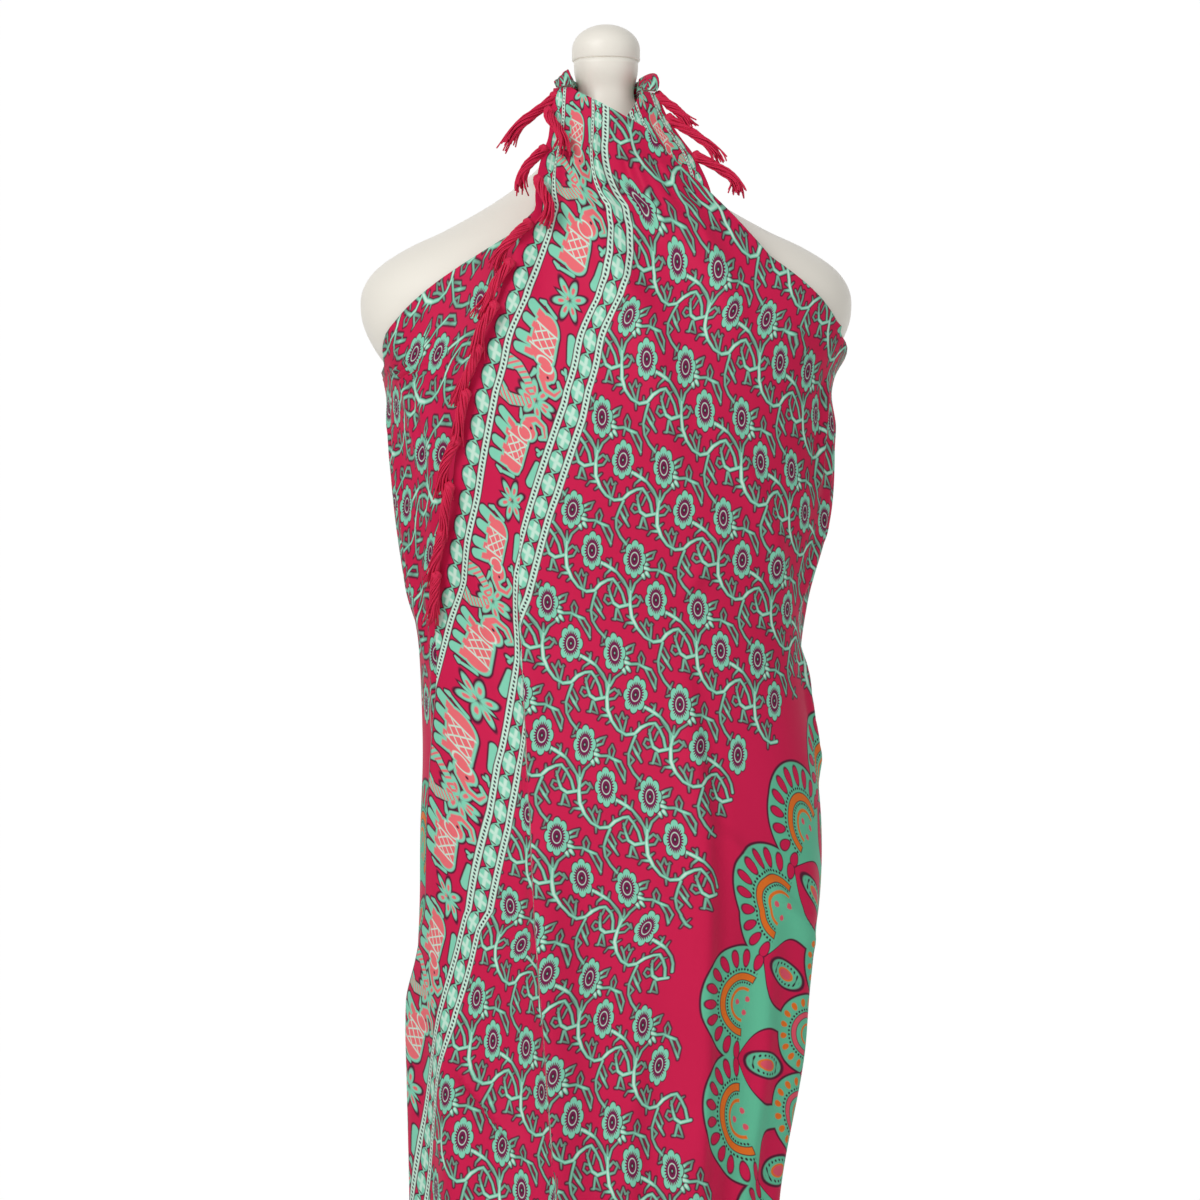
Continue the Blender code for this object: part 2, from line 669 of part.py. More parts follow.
def main():
    """Build the whole part."""
    remove_everything()
    cloth = material("printed_cloth", (0.62, 0.02, 0.10), 0.62)
    under_cloth = material("printed_cloth_under", (0.55, 0.02, 0.09), 0.62)
    fringe = material("fringe_thread", (0.60, 0.01, 0.08), 0.70)
    shell = material("form_shell", (0.86, 0.83, 0.78), 0.45)
    metal = material("stand_paint", (0.80, 0.79, 0.77), 0.40, 0.0)

    over = panel_grid(row_heights(1.468, ARMPIT_RIGHT), over_edges, OVER_COLUMNS, "over")
    under = panel_grid(row_heights(1.466, ARMPIT_LEFT), under_edges, UNDER_COLUMNS, "under")
    back = back_grid()
    wall_from_grid("front_over", over, cloth)
    wall_from_grid("front_under", under, under_cloth)
    wall_from_grid("back_wrap", back, cloth)
    build_form(shell)
    build_stand(metal)
    build_ties(cloth, over, under)
    over_side = surface_place(over[:, 0], -1.0, "over")
    under_side = surface_place(under[:, -1], 1.0, "under")
    build_fringe("fringe_over", over_side, -1.0, OVER_TASSELS, fringe, 3)
    build_fringe("fringe_under", under_side, 1.0, UNDER_TASSELS, fringe, 5)
    for side, direction in (("left", -1.0), ("right", 1.0)):
        grid = tail_grid(direction)
        wall_from_grid("tail_" + side, grid, cloth, TAIL_WALL, outside=direction)
        tail_side = tail_place(grid, direction)
        build_fringe("fringe_tail_" + side, tail_side, -direction, TAIL_TASSELS, fringe, 7)


main()
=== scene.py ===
# %% [markdown]
# # A printed sarong worn as a halter wrap
# One rectangle of thin printed cloth is wound round a limbless dress form. Its two ends
# cross in front and its two upper corners are knotted behind the neck.
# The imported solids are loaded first, and each is then replaced by a finished piece.

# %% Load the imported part
from functools import reduce
from math import cos, pi, radians, sin, sqrt, tau

import bpy
import numpy as np
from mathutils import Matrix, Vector


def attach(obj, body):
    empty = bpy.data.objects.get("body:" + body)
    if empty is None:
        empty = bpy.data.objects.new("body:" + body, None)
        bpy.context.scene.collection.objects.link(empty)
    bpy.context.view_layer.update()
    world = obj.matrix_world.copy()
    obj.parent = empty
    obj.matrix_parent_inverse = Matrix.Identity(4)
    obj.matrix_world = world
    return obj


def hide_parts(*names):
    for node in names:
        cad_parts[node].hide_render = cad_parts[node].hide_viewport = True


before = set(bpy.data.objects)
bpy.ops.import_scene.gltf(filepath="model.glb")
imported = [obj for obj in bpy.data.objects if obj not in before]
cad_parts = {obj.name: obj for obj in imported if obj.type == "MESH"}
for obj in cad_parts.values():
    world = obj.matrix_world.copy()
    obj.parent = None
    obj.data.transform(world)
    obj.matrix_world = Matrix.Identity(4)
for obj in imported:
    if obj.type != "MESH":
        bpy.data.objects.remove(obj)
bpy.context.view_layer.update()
print("nodes loaded:", sorted(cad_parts))

# %% [markdown]
# ## Sizes
# The worn shape is a stack of rounded sections: half widths to the left and right and
# depths to the front and back, in metres, at named heights.
# The edges of the two front panels are given by height and place across.

# %% Named sizes
CLOTH_SECTIONS = {
    "height": (0.10, 0.30, 0.508, 0.638, 0.699, 0.769, 0.830, 0.891, 0.943, 0.995,
               1.030, 1.099, 1.178, 1.222, 1.256, 1.300, 1.350, 1.400, 1.440, 1.475),
    "left": (0.150, 0.149, 0.153, 0.156, 0.158, 0.161, 0.161, 0.159, 0.160, 0.163,
             0.169, 0.179, 0.187, 0.194, 0.210, 0.206, 0.168, 0.108, 0.066, 0.046),
    "right": (0.138, 0.134, 0.136, 0.160, 0.166, 0.177, 0.179, 0.174, 0.166, 0.161,
              0.163, 0.181, 0.186, 0.190, 0.208, 0.206, 0.168, 0.108, 0.066, 0.046),
    "front": (0.112, 0.110, 0.108, 0.112, 0.117, 0.120, 0.121, 0.117, 0.112, 0.109,
              0.111, 0.122, 0.132, 0.131, 0.126, 0.115, 0.099, 0.081, 0.065, 0.051),
    "back": (0.112, 0.110, 0.106, 0.112, 0.118, 0.124, 0.125, 0.116, 0.100, 0.091,
             0.090, 0.096, 0.104, 0.106, 0.105, 0.090, 0.070, 0.050, 0.042, 0.040),
}
FORM_SECTIONS = {
    "height": (0.690, 0.769, 0.830, 0.891, 0.943, 0.995, 1.030, 1.099, 1.178, 1.205,
               1.222, 1.240, 1.262, 1.280, 1.300, 1.318, 1.335, 1.350, 1.378, 1.408,
               1.439, 1.469, 1.488, 1.498),
    "half": (0.146, 0.149, 0.149, 0.147, 0.147, 0.149, 0.151, 0.164, 0.172, 0.176,
             0.180, 0.196, 0.2085, 0.2130, 0.2110, 0.1980, 0.172, 0.140, 0.092, 0.056,
             0.034, 0.0242, 0.0276, 0.0280),
    "front": (0.105, 0.108, 0.109, 0.105, 0.100, 0.097, 0.099, 0.110, 0.119, 0.118,
              0.116, 0.112, 0.108, 0.103, 0.098, 0.092, 0.085, 0.079, 0.064, 0.048,
              0.034, 0.0250, 0.0285, 0.0290),
    "back": (0.106, 0.112, 0.113, 0.104, 0.088, 0.079, 0.078, 0.084, 0.092, 0.093,
             0.092, 0.088, 0.084, 0.080, 0.076, 0.071, 0.066, 0.062, 0.055, 0.045,
             0.034, 0.0250, 0.0285, 0.0290),
}
SECTION_POWER = 2.15
FORM_POWER = 2.2
LAYER_STEP = 0.008
SIDE_SEAM = 100.0
FOLD_RADIUS = 0.150
CLOTH_THICKNESS = 0.0007

OVER_TOP_EDGE = {"height": (1.256, 1.320, 1.378, 1.386, 1.432, 1.454, 1.468),
                 "across": (0.195, 0.135, 0.082, 0.073, 0.030, -0.005, -0.026)}
OVER_SHORT_EDGE = {"height": (0.769, 0.891, 1.012, 1.117, 1.204, 1.282, 1.308, 1.334,
                              1.360, 1.421, 1.468),
                   "across": (-0.147, -0.143, -0.136, -0.124, -0.110, -0.087, -0.078,
                              -0.067, -0.056, -0.044, -0.036)}
UNDER_TOP_EDGE = {"height": (1.230, 1.291, 1.339, 1.378, 1.432, 1.466),
                  "across": (-0.190, -0.153, -0.079, -0.043, 0.008, 0.030)}
UNDER_SHORT_EDGE = {"height": (0.856, 1.030, 1.204, 1.352, 1.413, 1.466),
                    "across": (0.135, 0.112, 0.098, 0.088, 0.073, 0.043)}
OVER_SHORT_LOW = {"height": (0.460, 0.570, 0.682), "angle": (-118.0, -104.0, -84.0)}
UNDER_SHORT_LOW = {"height": (0.460, 0.600, 0.730), "angle": (104.0, 88.0, 68.0)}
OVER_TOP_HEIGHT = 1.468
UNDER_TOP_HEIGHT = 1.466
ARMPIT_RIGHT = 1.225
ARMPIT_LEFT = 1.218
BACK_TOP = 1.212
HEM_BACK = 0.217
HEM_CORNER = 0.460
HEM_SWEEP = 298.0
HEM_POWER = 1.28
LEVEL_ROWS_END = 0.56

# %% [markdown]
# ## Folds
# A fold is a line from an upper to a lower point, each an angle from the front and a
# height in metres. Its width to the left, its width to the right and its rise out of the
# cloth are in millimetres.
# Unequal widths give a tuck, where the cloth on one side lies over the other.
# The first table is the folds that all stretches share, the others those of one stretch.

# %% Fold tables
SHARED_FOLDS = (
    # angle_top, top, angle_low, low, left_width, right_width, rise
    (16, 1, 36, 0.2, 30, 30, 10),
    (-18, 0.9, -10, 0.2, 20, 20, 12),
    (-52, 0.74, -46, 0.2, 26, 26, 11),
    (66, 0.84, 74, 0.2, 24, 24, 12),
    (108, 0.8, 104, 0.2, 24, 24, 13),
    (140, 0.88, 134, 0.2, 28, 28, 14),
    (171, 0.78, 168, 0.2, 26, 26, 15),
    (202, 0.86, 205, 0.2, 27, 27, 13),
    (238, 0.8, 242, 0.2, 24, 24, 13),
    (276, 0.78, 280, 0.2, 22, 22, 10),
    (82, 1.21, 78, 1.02, 9, 9, 6),
    (94, 1.21, 96, 0.98, 10, 10, 6),
    (108, 1.21, 118, 1.02, 12, 12, 5),
    (-78, 1.2, -70, 0.96, 10, 10, 5),
    (-96, 1.2, -98, 1, 11, 11, 6),
    (160, 1.19, 148, 0.98, 14, 14, 4),
    (198, 1.19, 212, 0.98, 14, 14, 4),
)
OVER_FOLDS = (
    # angle_top, top, angle_low, low, left_width, right_width, rise
    (-15, 1.43, 6, 1.265, 9, 9, 7.5),
    (-4, 1.4, 18, 1.134, 11, 11, 6),
    (12, 1.425, 30, 1.24, 11, 11, 6),
    (-30, 1.43, -15, 1.265, 8, 8, 6),
    (20, 1.204, 62, 1.03, 10, 10, 4.5),
    (18, 0.861, 72, 0.73, 9, 9, 4.5),
    (-22.6, 1.07, -21.4, 0.85, 4, 14, 5),
    (-21.6, 0.9, -5.2, 0.2, 4, 24, 7),
    (-48, 0.64, -22, 0.56, 4, 12, 7.5),
    (8, 1.44, 14, 1.33, 3.5, 6, 5.3),
    (-8, 1.446, 2, 1.35, 3, 5, 4.5),
    (-24, 1.45, -12, 1.34, 3, 6, 4.5),
    (22, 1.412, 27, 1.29, 4, 8, 3.7),
    (44, 1.262, 52, 1.238, 3.5, 7, 4.5),
    (64, 1.266, 78, 1.25, 3.5, 6, 3.7),
    (74, 1.225, 70, 1.12, 4, 6, 4.5),
    (88, 1.21, 84, 1.06, 4, 7, 5.3),
    (30, 1.094, 21, 1.03, 5, 10, 3.7),
    (21, 1, 30, 0.5, 12, 6, 6.7),
    (82, 0.994, 90, 0.87, 8, 5, 6),
    (8, 0.76, 3, 0.2, 14, 9, 6),
    (48, 0.8, 56, 0.2, 10, 16, 7.5),
    (-38, 1.12, -30, 0.93, 10, 20, 3),
)
UNDER_FOLDS = (
    # angle_top, top, angle_low, low, left_width, right_width, rise
    (-62, 1.28, -40, 1.05, 10, 10, 3.7),
    (-50, 1.18, -58, 0.9, 12, 12, 3.7),
    (-84, 1.21, -78, 1.07, 6, 3.5, 3.7),
    (-66, 1.25, -56, 1.13, 7, 4, 3.1),
    (-92, 1.19, -88, 1.02, 6, 4, 3.1),
    (-60, 1.08, -66, 0.9, 9, 5, 3.7),
    (28, 1.45, 30, 1.38, 3, 5, 2.5),
)
BACK_FOLDS = (
    # angle_top, top, angle_low, low, left_width, right_width, rise
    (124, 1.21, 112, 1.08, 5, 9, 4.2),
    (142, 1.205, 134, 1.02, 6, 10, 3.5),
    (176, 1.206, 168, 1.09, 5, 8, 3.1),
    (188, 1.206, 197, 1.06, 9, 5, 3.6),
    (222, 1.205, 236, 1.04, 10, 6, 3.9),
    (240, 1.21, 250, 1.1, 8, 5, 3.6),
    (128, 0.96, 160, 0.9, 6, 12, 4.2),
    (214, 0.95, 188, 0.88, 12, 6, 3.9),
    (152, 0.64, 156, 0.2, 6, 16, 6),
    (184, 0.56, 186, 0.2, 14, 7, 7),
    (220, 0.7, 224, 0.2, 6, 15, 6),
    (120, 0.62, 118, 0.2, 15, 6, 7),
)
print("folds:", len(SHARED_FOLDS + OVER_FOLDS + UNDER_FOLDS + BACK_FOLDS))

# %% [markdown]
# ## The worn shape
# All of these work on whole arrays of angles and heights at once.
# `read_table` runs a smooth curve through a table's rows, so that no row shows as a kink.

# %% Functions for the worn shape
def smooth_step(value):
    """Ease numbers from 0 to 1."""
    value = np.clip(value, 0.0, 1.0)
    return value * value * (3.0 - 2.0 * value)


def read_table(table, column, height):
    """Read a table's column at many heights, along a smooth curve through its rows."""
    rows = np.array(table["height"])
    values = np.array(table[column])
    ahead = np.append(np.arange(1, len(rows)), len(rows) - 1)
    behind = np.append(0, np.arange(len(rows) - 1))
    slopes = (values[ahead] - values[behind]) / (rows[ahead] - rows[behind])
    height = np.clip(height, rows[0], rows[-1])
    row = np.clip(np.searchsorted(rows, height) - 1, 0, len(rows) - 2)
    span = rows[row + 1] - rows[row]
    part = (height - rows[row]) / span
    square = part * part
    cube = square * part
    level = (2.0 * cube - 3.0 * square + 1.0) * values[row]
    level += (3.0 * square - 2.0 * cube) * values[row + 1]
    bend = (cube - 2.0 * square + part) * slopes[row] + (cube - square) * slopes[row + 1]
    return level + bend * span


def signed_power(value, power):
    """A power that keeps each number's sign."""
    return np.abs(value) ** power * np.sign(value)


def section_point(angle, height):
    """Points of the worn shape: angle in degrees from the front, towards +X."""
    turn = np.radians(angle)
    across = signed_power(np.sin(turn), 2.0 / SECTION_POWER)
    along = signed_power(-np.cos(turn), 2.0 / SECTION_POWER)
    half = np.where(across > 0.0, read_table(CLOTH_SECTIONS, "right", height),
                    read_table(CLOTH_SECTIONS, "left", height))
    depth = np.where(along > 0.0, read_table(CLOTH_SECTIONS, "back", height),
                     read_table(CLOTH_SECTIONS, "front", height))
    return np.stack((across * half, along * depth, height + 0.0 * across), axis=-1)


def angle_of(across, height):
    """The angle at which the front of the worn shape is that far across."""
    half = np.where(across > 0.0, read_table(CLOTH_SECTIONS, "right", height),
                    read_table(CLOTH_SECTIONS, "left", height))
    part = np.minimum(np.abs(across) / half, 1.0) ** (SECTION_POWER / 2.0)
    return np.degrees(np.arcsin(part)) * np.where(across >= 0.0, 1.0, -1.0)


def edge_table(across_table, low_table=None, armpit=()):
    """An edge as height and angle, from places across and from angles low down."""
    rows = list(zip(low_table["height"], low_table["angle"])) if low_table else []
    rows += list(armpit)
    for height, across in zip(across_table["height"], across_table["across"]):
        rows.append((height, float(angle_of(np.float64(across), height))))
    return {"height": [row[0] for row in rows], "angle": [row[1] for row in rows]}


OVER_TOP = edge_table(OVER_TOP_EDGE, armpit=[(ARMPIT_RIGHT, SIDE_SEAM), (1.240, 84.0)])
OVER_SHORT = edge_table(OVER_SHORT_EDGE, OVER_SHORT_LOW)
UNDER_TOP = edge_table(UNDER_TOP_EDGE, armpit=[(ARMPIT_LEFT, -SIDE_SEAM)])
UNDER_SHORT = edge_table(UNDER_SHORT_EDGE, UNDER_SHORT_LOW)


def edge_angle(table, height):
    """An edge's angle at each height, straight between the table's rows."""
    return np.interp(height, table["height"], table["angle"])


def hem_height(angle, layer):
    """The hem's height, which rises along the cloth from the middle of the back."""
    from_back = np.abs(180.0 + angle) if layer == "under" else np.abs(180.0 - angle)
    return HEM_BACK + (HEM_CORNER - HEM_BACK) * (from_back / HEM_SWEEP) ** HEM_POWER


print("rows of the short edges:", len(OVER_SHORT["angle"]), len(UNDER_SHORT["angle"]))

# %% [markdown]
# ## How folds move the cloth
# Each fold adds a ridge along its line. A tuck also has a valley at its steep foot.
# The stretches lie in layers: the outer panel is a step further out than the inner one.

# %% Folded cloth
MILLIMETRE = 0.001
VALLEY_SHARE = 0.30
VALLEY_OFF = 2.4
VALLEY_WIDTH = 1.2
TUCK_RATIO = 1.4


def fold_lift(folds, angle, height):
    """How far the folds of one table push the cloth out, with a valley beside each tuck."""
    lift = np.zeros(np.broadcast(angle, height).shape)
    for angle_top, top, angle_low, low, *sizes in folds:
        left_width, right_width, rise = (size * MILLIMETRE for size in sizes)
        part = (top - height) / (top - low)
        line = angle_top + (angle_low - angle_top) * np.clip(part, 0.0, 1.0)
        gap = (angle - line + 180.0) % 360.0 - 180.0
        width = np.where(gap < 0.0, left_width, right_width)
        off = np.radians(gap) * FOLD_RADIUS / width
        grow = smooth_step((part + 0.02) * 4.0)
        fade = 1.0 if low < 0.3 else smooth_step((1.04 - part) * 4.0)
        ridge = np.exp(-off * off)
        narrow = min(left_width, right_width)
        if max(left_width, right_width) > TUCK_RATIO * narrow:
            side = -1.0 if left_width < right_width else 1.0
            foot = np.radians(gap) * FOLD_RADIUS - side * VALLEY_OFF * narrow
            ridge = ridge - VALLEY_SHARE * np.exp(-(foot / (VALLEY_WIDTH * narrow)) ** 2)
        lift = lift + rise * grow * fade * ridge
    return lift


def outwards(angle, height):
    """The level directions that point out of the worn shape."""
    along = section_point(angle + 0.5, height) - section_point(angle - 0.5, height)
    out = np.stack((along[..., 1], -along[..., 0], 0.0 * along[..., 0]), axis=-1)
    return out / np.linalg.norm(out, axis=-1, keepdims=True)


LAYER_FOLDS = {"over": OVER_FOLDS, "under": UNDER_FOLDS, "back": BACK_FOLDS}


def cloth_lift(angle, height, layer):
    """How far a stretch stands out of the worn shape, with all its folds."""
    if layer == "back":
        part = (360.0 - SIDE_SEAM - angle) / (360.0 - 2.0 * SIDE_SEAM)
        base = LAYER_STEP * smooth_step(part)
    else:
        base = LAYER_STEP if layer == "over" else 0.0
    lift = base + fold_lift(SHARED_FOLDS, angle, height)
    return lift + fold_lift(LAYER_FOLDS[layer], angle, height)


def cloth_point(angle, height, layer):
    """Points in the middle of the cloth's thickness."""
    lift = cloth_lift(angle, height, layer)
    return section_point(angle, height) + outwards(angle, height) * lift[..., None]


print("hem heights:", round(float(hem_height(180.0, "back")), 3), "at the back,",
      round(float(hem_height(-118.0, "over")), 3), "at the outer corner")

# %% [markdown]
# ## Where each point lies on the flat cloth
# The print is drawn on the flat rectangle: the first coordinate runs from the outer short
# edge along the cloth, the second from the upper long edge down. In front the cloth hangs
# on the bias, so its rows slope. They level out towards the middle of the back.
# The outer panel's print is moved along by pulls in the cloth, by a tuck beside the border
# and where its edge is turned under. Near the neck both borders are folded up.

# %% Flat coordinates
CLOTH_LENGTH = 1.30
BIAS_STRETCH = 1.035
BIAS_SLOPE = 0.745
GATHERED_CORNER = 0.100
BACK_TOP_DOWN = 0.125
BORDER_PULL = {
    # how far down the cloth, and how far the border's inner side is pulled to the edge
    "down": (0.34, 0.40, 0.44, 0.50, 0.565, 0.64, 0.70, 0.76, 0.80, 0.83, 0.88, 1.00),
    "pull": (-0.005, 0.0, 0.004, 0.009, 0.001, 0.003, 0.008, 0.019, 0.026, 0.021, 0.015, 0.012),
}
FIELD_PULL = {
    "down": (0.34, 0.43, 0.51, 0.536, 0.62, 0.722, 0.806, 1.00),
    "pull": (-0.005, 0.007, 0.014, 0.020, 0.031, 0.050, 0.048, 0.040),
}
TUCK_LINE = {
    # the tuck beside the border, where the field lies over the border's inner side
    "height": (0.509, 0.726, 0.874, 0.930, 1.040),
    "across": (-0.0368, -0.0510, -0.0618, -0.0643, -0.0700),
}
TUCK_TURN = 0.4
TURNED_UNDER = {
    # from the waist down the bead row at the short edge is turned under the panel
    "height": (0.955, 1.045),
    "turned": (0.026, 0.0),
}
PULL_START = 0.030
PULL_END = 0.075
NECK_GATHER = {
    # near the neck the border is folded up: how many times its own width
    "height": (1.30, 1.320, 1.343, 1.363, 1.416, 1.453),
    "folded": (1.0, 1.06, 1.20, 1.42, 2.30, 2.60),
}
GATHERED_WIDTH = 0.097
print("the print is moved by up to", max(FIELD_PULL["pull"]), "m")

# %% [markdown]
# ## From the worn shape to the flat cloth
# The way round the worn shape, times the stretch of the bias, is the way along the cloth.
# A grid of these ways is made once and read for every corner of the cloth.

# %% Flat places
arc_angles = np.arange(-130.0, 262.0, 2.0)
arc_heights = np.arange(0.18, 1.49, 0.01)
arc_grid_angle, arc_grid_height = np.meshgrid(arc_angles, arc_heights)
arc_points = section_point(arc_grid_angle, arc_grid_height)
arc_steps = np.linalg.norm(np.diff(arc_points, axis=1), axis=2)
arc_lengths = np.concatenate((np.zeros((len(arc_heights), 1)), np.cumsum(arc_steps, axis=1)),
                             axis=1)


def arc_length(angle, height):
    """The way round the worn shape to an angle, at each height."""
    angle, height = np.broadcast_arrays(angle, height)
    column = np.clip((angle - arc_angles[0]) / 2.0, 0.0, len(arc_angles) - 1.001)
    row = np.clip((height - arc_heights[0]) / 0.01, 0.0, len(arc_heights) - 1.001)
    left = column.astype(int)
    low = row.astype(int)
    right_part = column - left
    high_part = row - low
    lower = arc_lengths[low, left] * (1.0 - right_part) + arc_lengths[low, left + 1] * right_part
    upper = (arc_lengths[low + 1, left] * (1.0 - right_part)
             + arc_lengths[low + 1, left + 1] * right_part)
    return lower * (1.0 - high_part) + upper * high_part


def edge_down(table, height):
    """How far down a short edge each height is, along the edge."""
    levels = np.arange(OVER_TOP_HEIGHT, 0.20, -0.005)
    points = section_point(edge_angle(table, levels), levels)
    steps = np.linalg.norm(np.diff(points, axis=0), axis=1)
    lengths = np.append(0.0, np.cumsum(steps)) + GATHERED_CORNER
    return np.interp(-height, -levels, lengths)


def pulled(along, down, angle, height):
    """How far the outer panel's print is moved along, on both sides of the tuck."""
    border = np.interp(down, BORDER_PULL["down"], BORDER_PULL["pull"])
    field = np.interp(down, FIELD_PULL["down"], FIELD_PULL["pull"])
    across = np.interp(height, TUCK_LINE["height"], TUCK_LINE["across"])
    beyond = smooth_step((angle - angle_of(across, height)) / TUCK_TURN + 0.5)
    inner = border + (field - border) * beyond
    turned = np.interp(height, TURNED_UNDER["height"], TURNED_UNDER["turned"])
    start = PULL_START - turned
    return turned + (inner - turned) * smooth_step((along - start) / (PULL_END - start))


def front_place(angle, height, layer):
    """The flat place of points on a front panel."""
    table = OVER_SHORT if layer == "over" else UNDER_SHORT
    way = arc_length(angle, height) - arc_length(edge_angle(table, height), height)
    way = way if layer == "over" else -way
    along = way * BIAS_STRETCH
    folded = np.interp(height, NECK_GATHER["height"], NECK_GATHER["folded"])
    along = np.minimum(along * folded, along + GATHERED_WIDTH * (1.0 - 1.0 / folded))
    down = edge_down(table, height) - BIAS_SLOPE * way
    if layer == "over":
        return along + pulled(along, down, angle, height), down
    return CLOTH_LENGTH - along, down


def back_place(angle, height):
    """The flat place of points on the back, eased between the two front panels."""
    middle_down = BACK_TOP_DOWN + (BACK_TOP - height)
    results = []
    for side, layer in ((SIDE_SEAM, "over"), (-SIDE_SEAM, "under")):
        along, down = front_place(np.full(height.shape, side), height, layer)
        seam = side if side > 0.0 else 360.0 + side
        span = arc_length(np.full(height.shape, 180.0), height) - arc_length(seam, height)
        way = arc_length(angle, height) - arc_length(seam, height)
        part = np.clip(way / span, 0.0, 1.0)
        reach = span * BIAS_STRETCH
        missing = CLOTH_LENGTH / 2.0 - along - reach
        square = part * part
        cube = square * part
        slope = -BIAS_SLOPE * np.abs(span)
        fall = (2.0 * cube - 3.0 * square + 1.0) * down + (3.0 * square - 2.0 * cube) * middle_down
        fall = fall + (cube - 2.0 * square + part) * slope
        results.append((along + reach * part + missing * smooth_step(part), fall))
    right, left = results
    return (np.where(angle <= 180.0, right[0], left[0]),
            np.where(angle <= 180.0, right[1], left[1]))


def flat_place(angle, height, layer):
    """The flat place of points of any stretch."""
    if layer == "back":
        return back_place(angle, height)
    return front_place(angle, height, layer)


for level in (1.15, 0.85, 0.55):
    along, down = flat_place(np.array([SIDE_SEAM]), np.array([level]), "over")
    print("the side seam at height", level, "lies", round(float(along[0]), 3), "m along and",
          round(float(down[0]), 3), "m down")

# %% [markdown]
# ## Building a surface
# Every surface starts as a grid. Its corners run from 0 to 1 both ways, and a function
# says where each goes and what its place in the print is.
# A grid that goes round is merged along its seam, and its ends can be closed.

# %% A helper for surfaces
def look_after(thing):
    """Make one object the only selected and active one."""
    bpy.ops.object.select_all(action="DESELECT")
    thing.select_set(True)
    bpy.context.view_layer.objects.active = thing


def surface(name, columns, rows, place, look, closed=False, capped=False, flip=False):
    """A grid whose corners a function of (along, down) places, with its print map."""
    bpy.ops.object.select_all(action="DESELECT")
    bpy.ops.mesh.primitive_grid_add(x_subdivisions=columns, y_subdivisions=rows, size=2.0)
    thing = bpy.context.object
    thing.name = name
    mesh = thing.data
    mesh.name = name
    corners = np.zeros(len(mesh.vertices) * 3)
    mesh.vertices.foreach_get("co", corners)
    corners = corners.reshape(-1, 3)
    along = (corners[:, 0] + 1.0) / 2.0
    down = (1.0 - corners[:, 1]) / 2.0
    points, print_along, print_down = place(along, down)
    mesh.vertices.foreach_set("co", np.ascontiguousarray(points, float).ravel())
    owners = np.zeros(len(mesh.loops), int)
    mesh.loops.foreach_get("vertex_index", owners)
    for layer in list(mesh.uv_layers):
        mesh.uv_layers.remove(layer)
    layer = mesh.uv_layers.new(name="print")
    both = np.stack((print_along[owners], print_down[owners]), axis=1)
    layer.data.foreach_set("uv", both.ravel())
    mesh.update()
    bpy.ops.object.mode_set(mode="EDIT")
    bpy.ops.mesh.select_all(action="SELECT")
    if closed:
        bpy.ops.mesh.remove_doubles(threshold=0.00001)
    if capped:
        bpy.ops.mesh.select_all(action="DESELECT")
        bpy.ops.mesh.select_mode(type="EDGE")
        bpy.ops.mesh.select_non_manifold(extend=False)
        bpy.ops.mesh.fill_holes(sides=0)
        bpy.ops.mesh.select_mode(type="VERT")
        bpy.ops.mesh.select_all(action="SELECT")
        bpy.ops.mesh.normals_make_consistent(inside=False)
    if flip:
        bpy.ops.mesh.select_all(action="SELECT")
        bpy.ops.mesh.flip_normals()
    bpy.ops.object.mode_set(mode="OBJECT")
    bpy.ops.object.shade_smooth()
    mesh.materials.append(look)
    return thing


def apply_modifier(thing, kind, **settings):
    """Add a modifier with its settings and apply it."""
    look_after(thing)
    modifier = thing.modifiers.new(kind.lower(), kind)
    for name, value in settings.items():
        setattr(modifier, name, value)
    bpy.ops.object.modifier_apply(modifier=modifier.name)


def thin_cloth(thing, thickness=CLOTH_THICKNESS):
    """Give a sheet its thickness."""
    apply_modifier(thing, "SOLIDIFY", thickness=thickness, offset=0.0, use_even_offset=False)


def joined(name, things):
    """Join several objects into one."""
    bpy.ops.object.select_all(action="DESELECT")
    for thing in things:
        thing.select_set(True)
    bpy.context.view_layer.objects.active = things[0]
    if len(things) > 1:
        bpy.ops.object.join()
    things[0].name = name
    things[0].data.name = name
    return things[0]


def triangles(thing):
    """How many triangles a piece has."""
    return sum(len(face.vertices) - 2 for face in thing.data.polygons)


print("surface helper ready")

# %% [markdown]
# ## Drawing with numbers
# The print is drawn by sums. `Value` is a number that a material works out at each point,
# and the usual signs (+, -, *, /) join two of them.
# A shape is a distance that is below zero inside. `cover` turns it into ink with a soft
# edge, and `ink` lays a colour over what is there.

